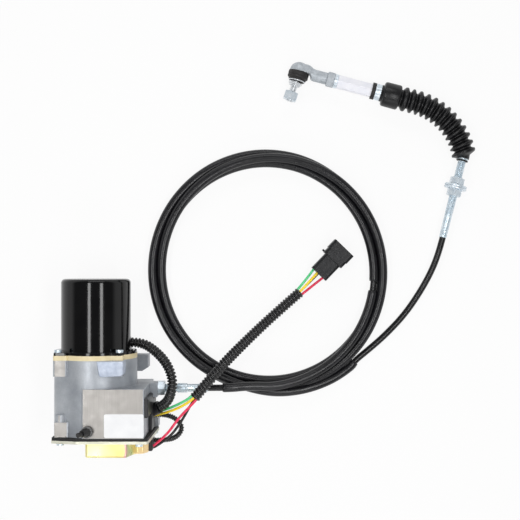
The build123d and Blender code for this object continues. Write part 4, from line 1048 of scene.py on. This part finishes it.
def stacked(name, levels):
    """Closed form from equal outlines at rising heights."""
    points = [(x, y, z) for z, outline in levels for x, y in outline]
    count = len(levels[0][1])
    faces = [tuple(reversed(range(count))), tuple(range(len(points) - count, len(points)))]
    for level in range(len(levels) - 1):
        for k in range(count):
            a = level * count + k
            b = level * count + (k + 1) % count
            faces.append((a, b, b + count, a + count))
    piece = mesh_piece(name, points, faces)
    piece.data.set_sharp_from_angle(angle=radians(32.0))
    return piece


pad = stacked("housing_front_pad", [(z, inward(pad_outline, amount)) for z, amount in pad_levels])
dress(pad, pad_aluminium)
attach(pad, "casing")

# Bare label on the housing's front face: left, lower, right and upper edge
label_edges = (9.9, -35.2, 46.3, -13.5)
label_corner = 1.6
label_floor = 83.02
label_top = 83.22


def rounded_rectangle(left, low, right, high, corner):
    """Outline of a rectangle with rounded corners."""
    steps = 6
    outline = []
    for x, y, start in ((right - corner, high - corner, 0.0), (left + corner, high - corner, 90.0),
                        (left + corner, low + corner, 180.0), (right - corner, low + corner, 270.0)):
        for i in range(steps + 1):
            turn = radians(start + 90.0 * i / steps)
            outline.append((x + corner * cos(turn), y + corner * sin(turn)))
    return outline


label_outline = rounded_rectangle(*label_edges, label_corner)
label = stacked("bare_label", [(label_floor, label_outline), (label_top, label_outline)])
dress(label, label_white)
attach(label, "casing")

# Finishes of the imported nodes
dressed_nodes = [
    (black_paint, ["motor_can"]),
    (cream_plastic, ["motor_end_plate"]),
    (cast_aluminium, ["gear_housing"]),
    (chromate, ["sensor_cover", "cover_screws"]),
    (gasket_black, ["bottom_gasket"]),
    (plate_zinc, ["bottom_plate"]),
    (black_plastic, ["brush_holders", "position_sensor", "lead_entry_block"]),
    (black_rubber, ["cover_grommet", "motor_lead_grommet", "bellows_boot", "rod_seal_ring", "dust_seal"]),
    (vent_rubber, ["vent_nipple"]),
    (magnet_grey, ["field_magnets"]),
    (core_iron, ["armature_core"]),
    (copper, ["armature_windings", "commutator"]),
    (carbon, ["carbon_brushes"]),
    (bronze, ["shaft_bushes"]),
    (bright_steel, ["motor_shaft", "motor_bearings", "ring_gear", "sun_gear", "planet_gear_1",
                    "planet_gear_2", "planet_gear_3", "planet_carrier", "drum_shaft", "drum_gear",
                    "pull_wire", "rod_pull_wire", "seal_clip", "ball_stud"]),
    (zinc, ["can_screws", "cable_drum", "plate_screws", "motor_end_hub", "rod_end_hub", "rod_sleeve"]),
    (zinc_bright, ["hub_nuts", "hub_washers", "rod_collar", "stud_nut"]),
    (cast_joint, ["rod_lock_nut", "ball_joint_housing"]),
    (connector_black, ["harness_connector"]),
    (brass, ["connector_pins"]),
]
for finish, names in dressed_nodes:
    for name in names:
        dress(bpy.data.objects[name], finish)

bpy.context.scene.view_settings.view_transform = "Standard"
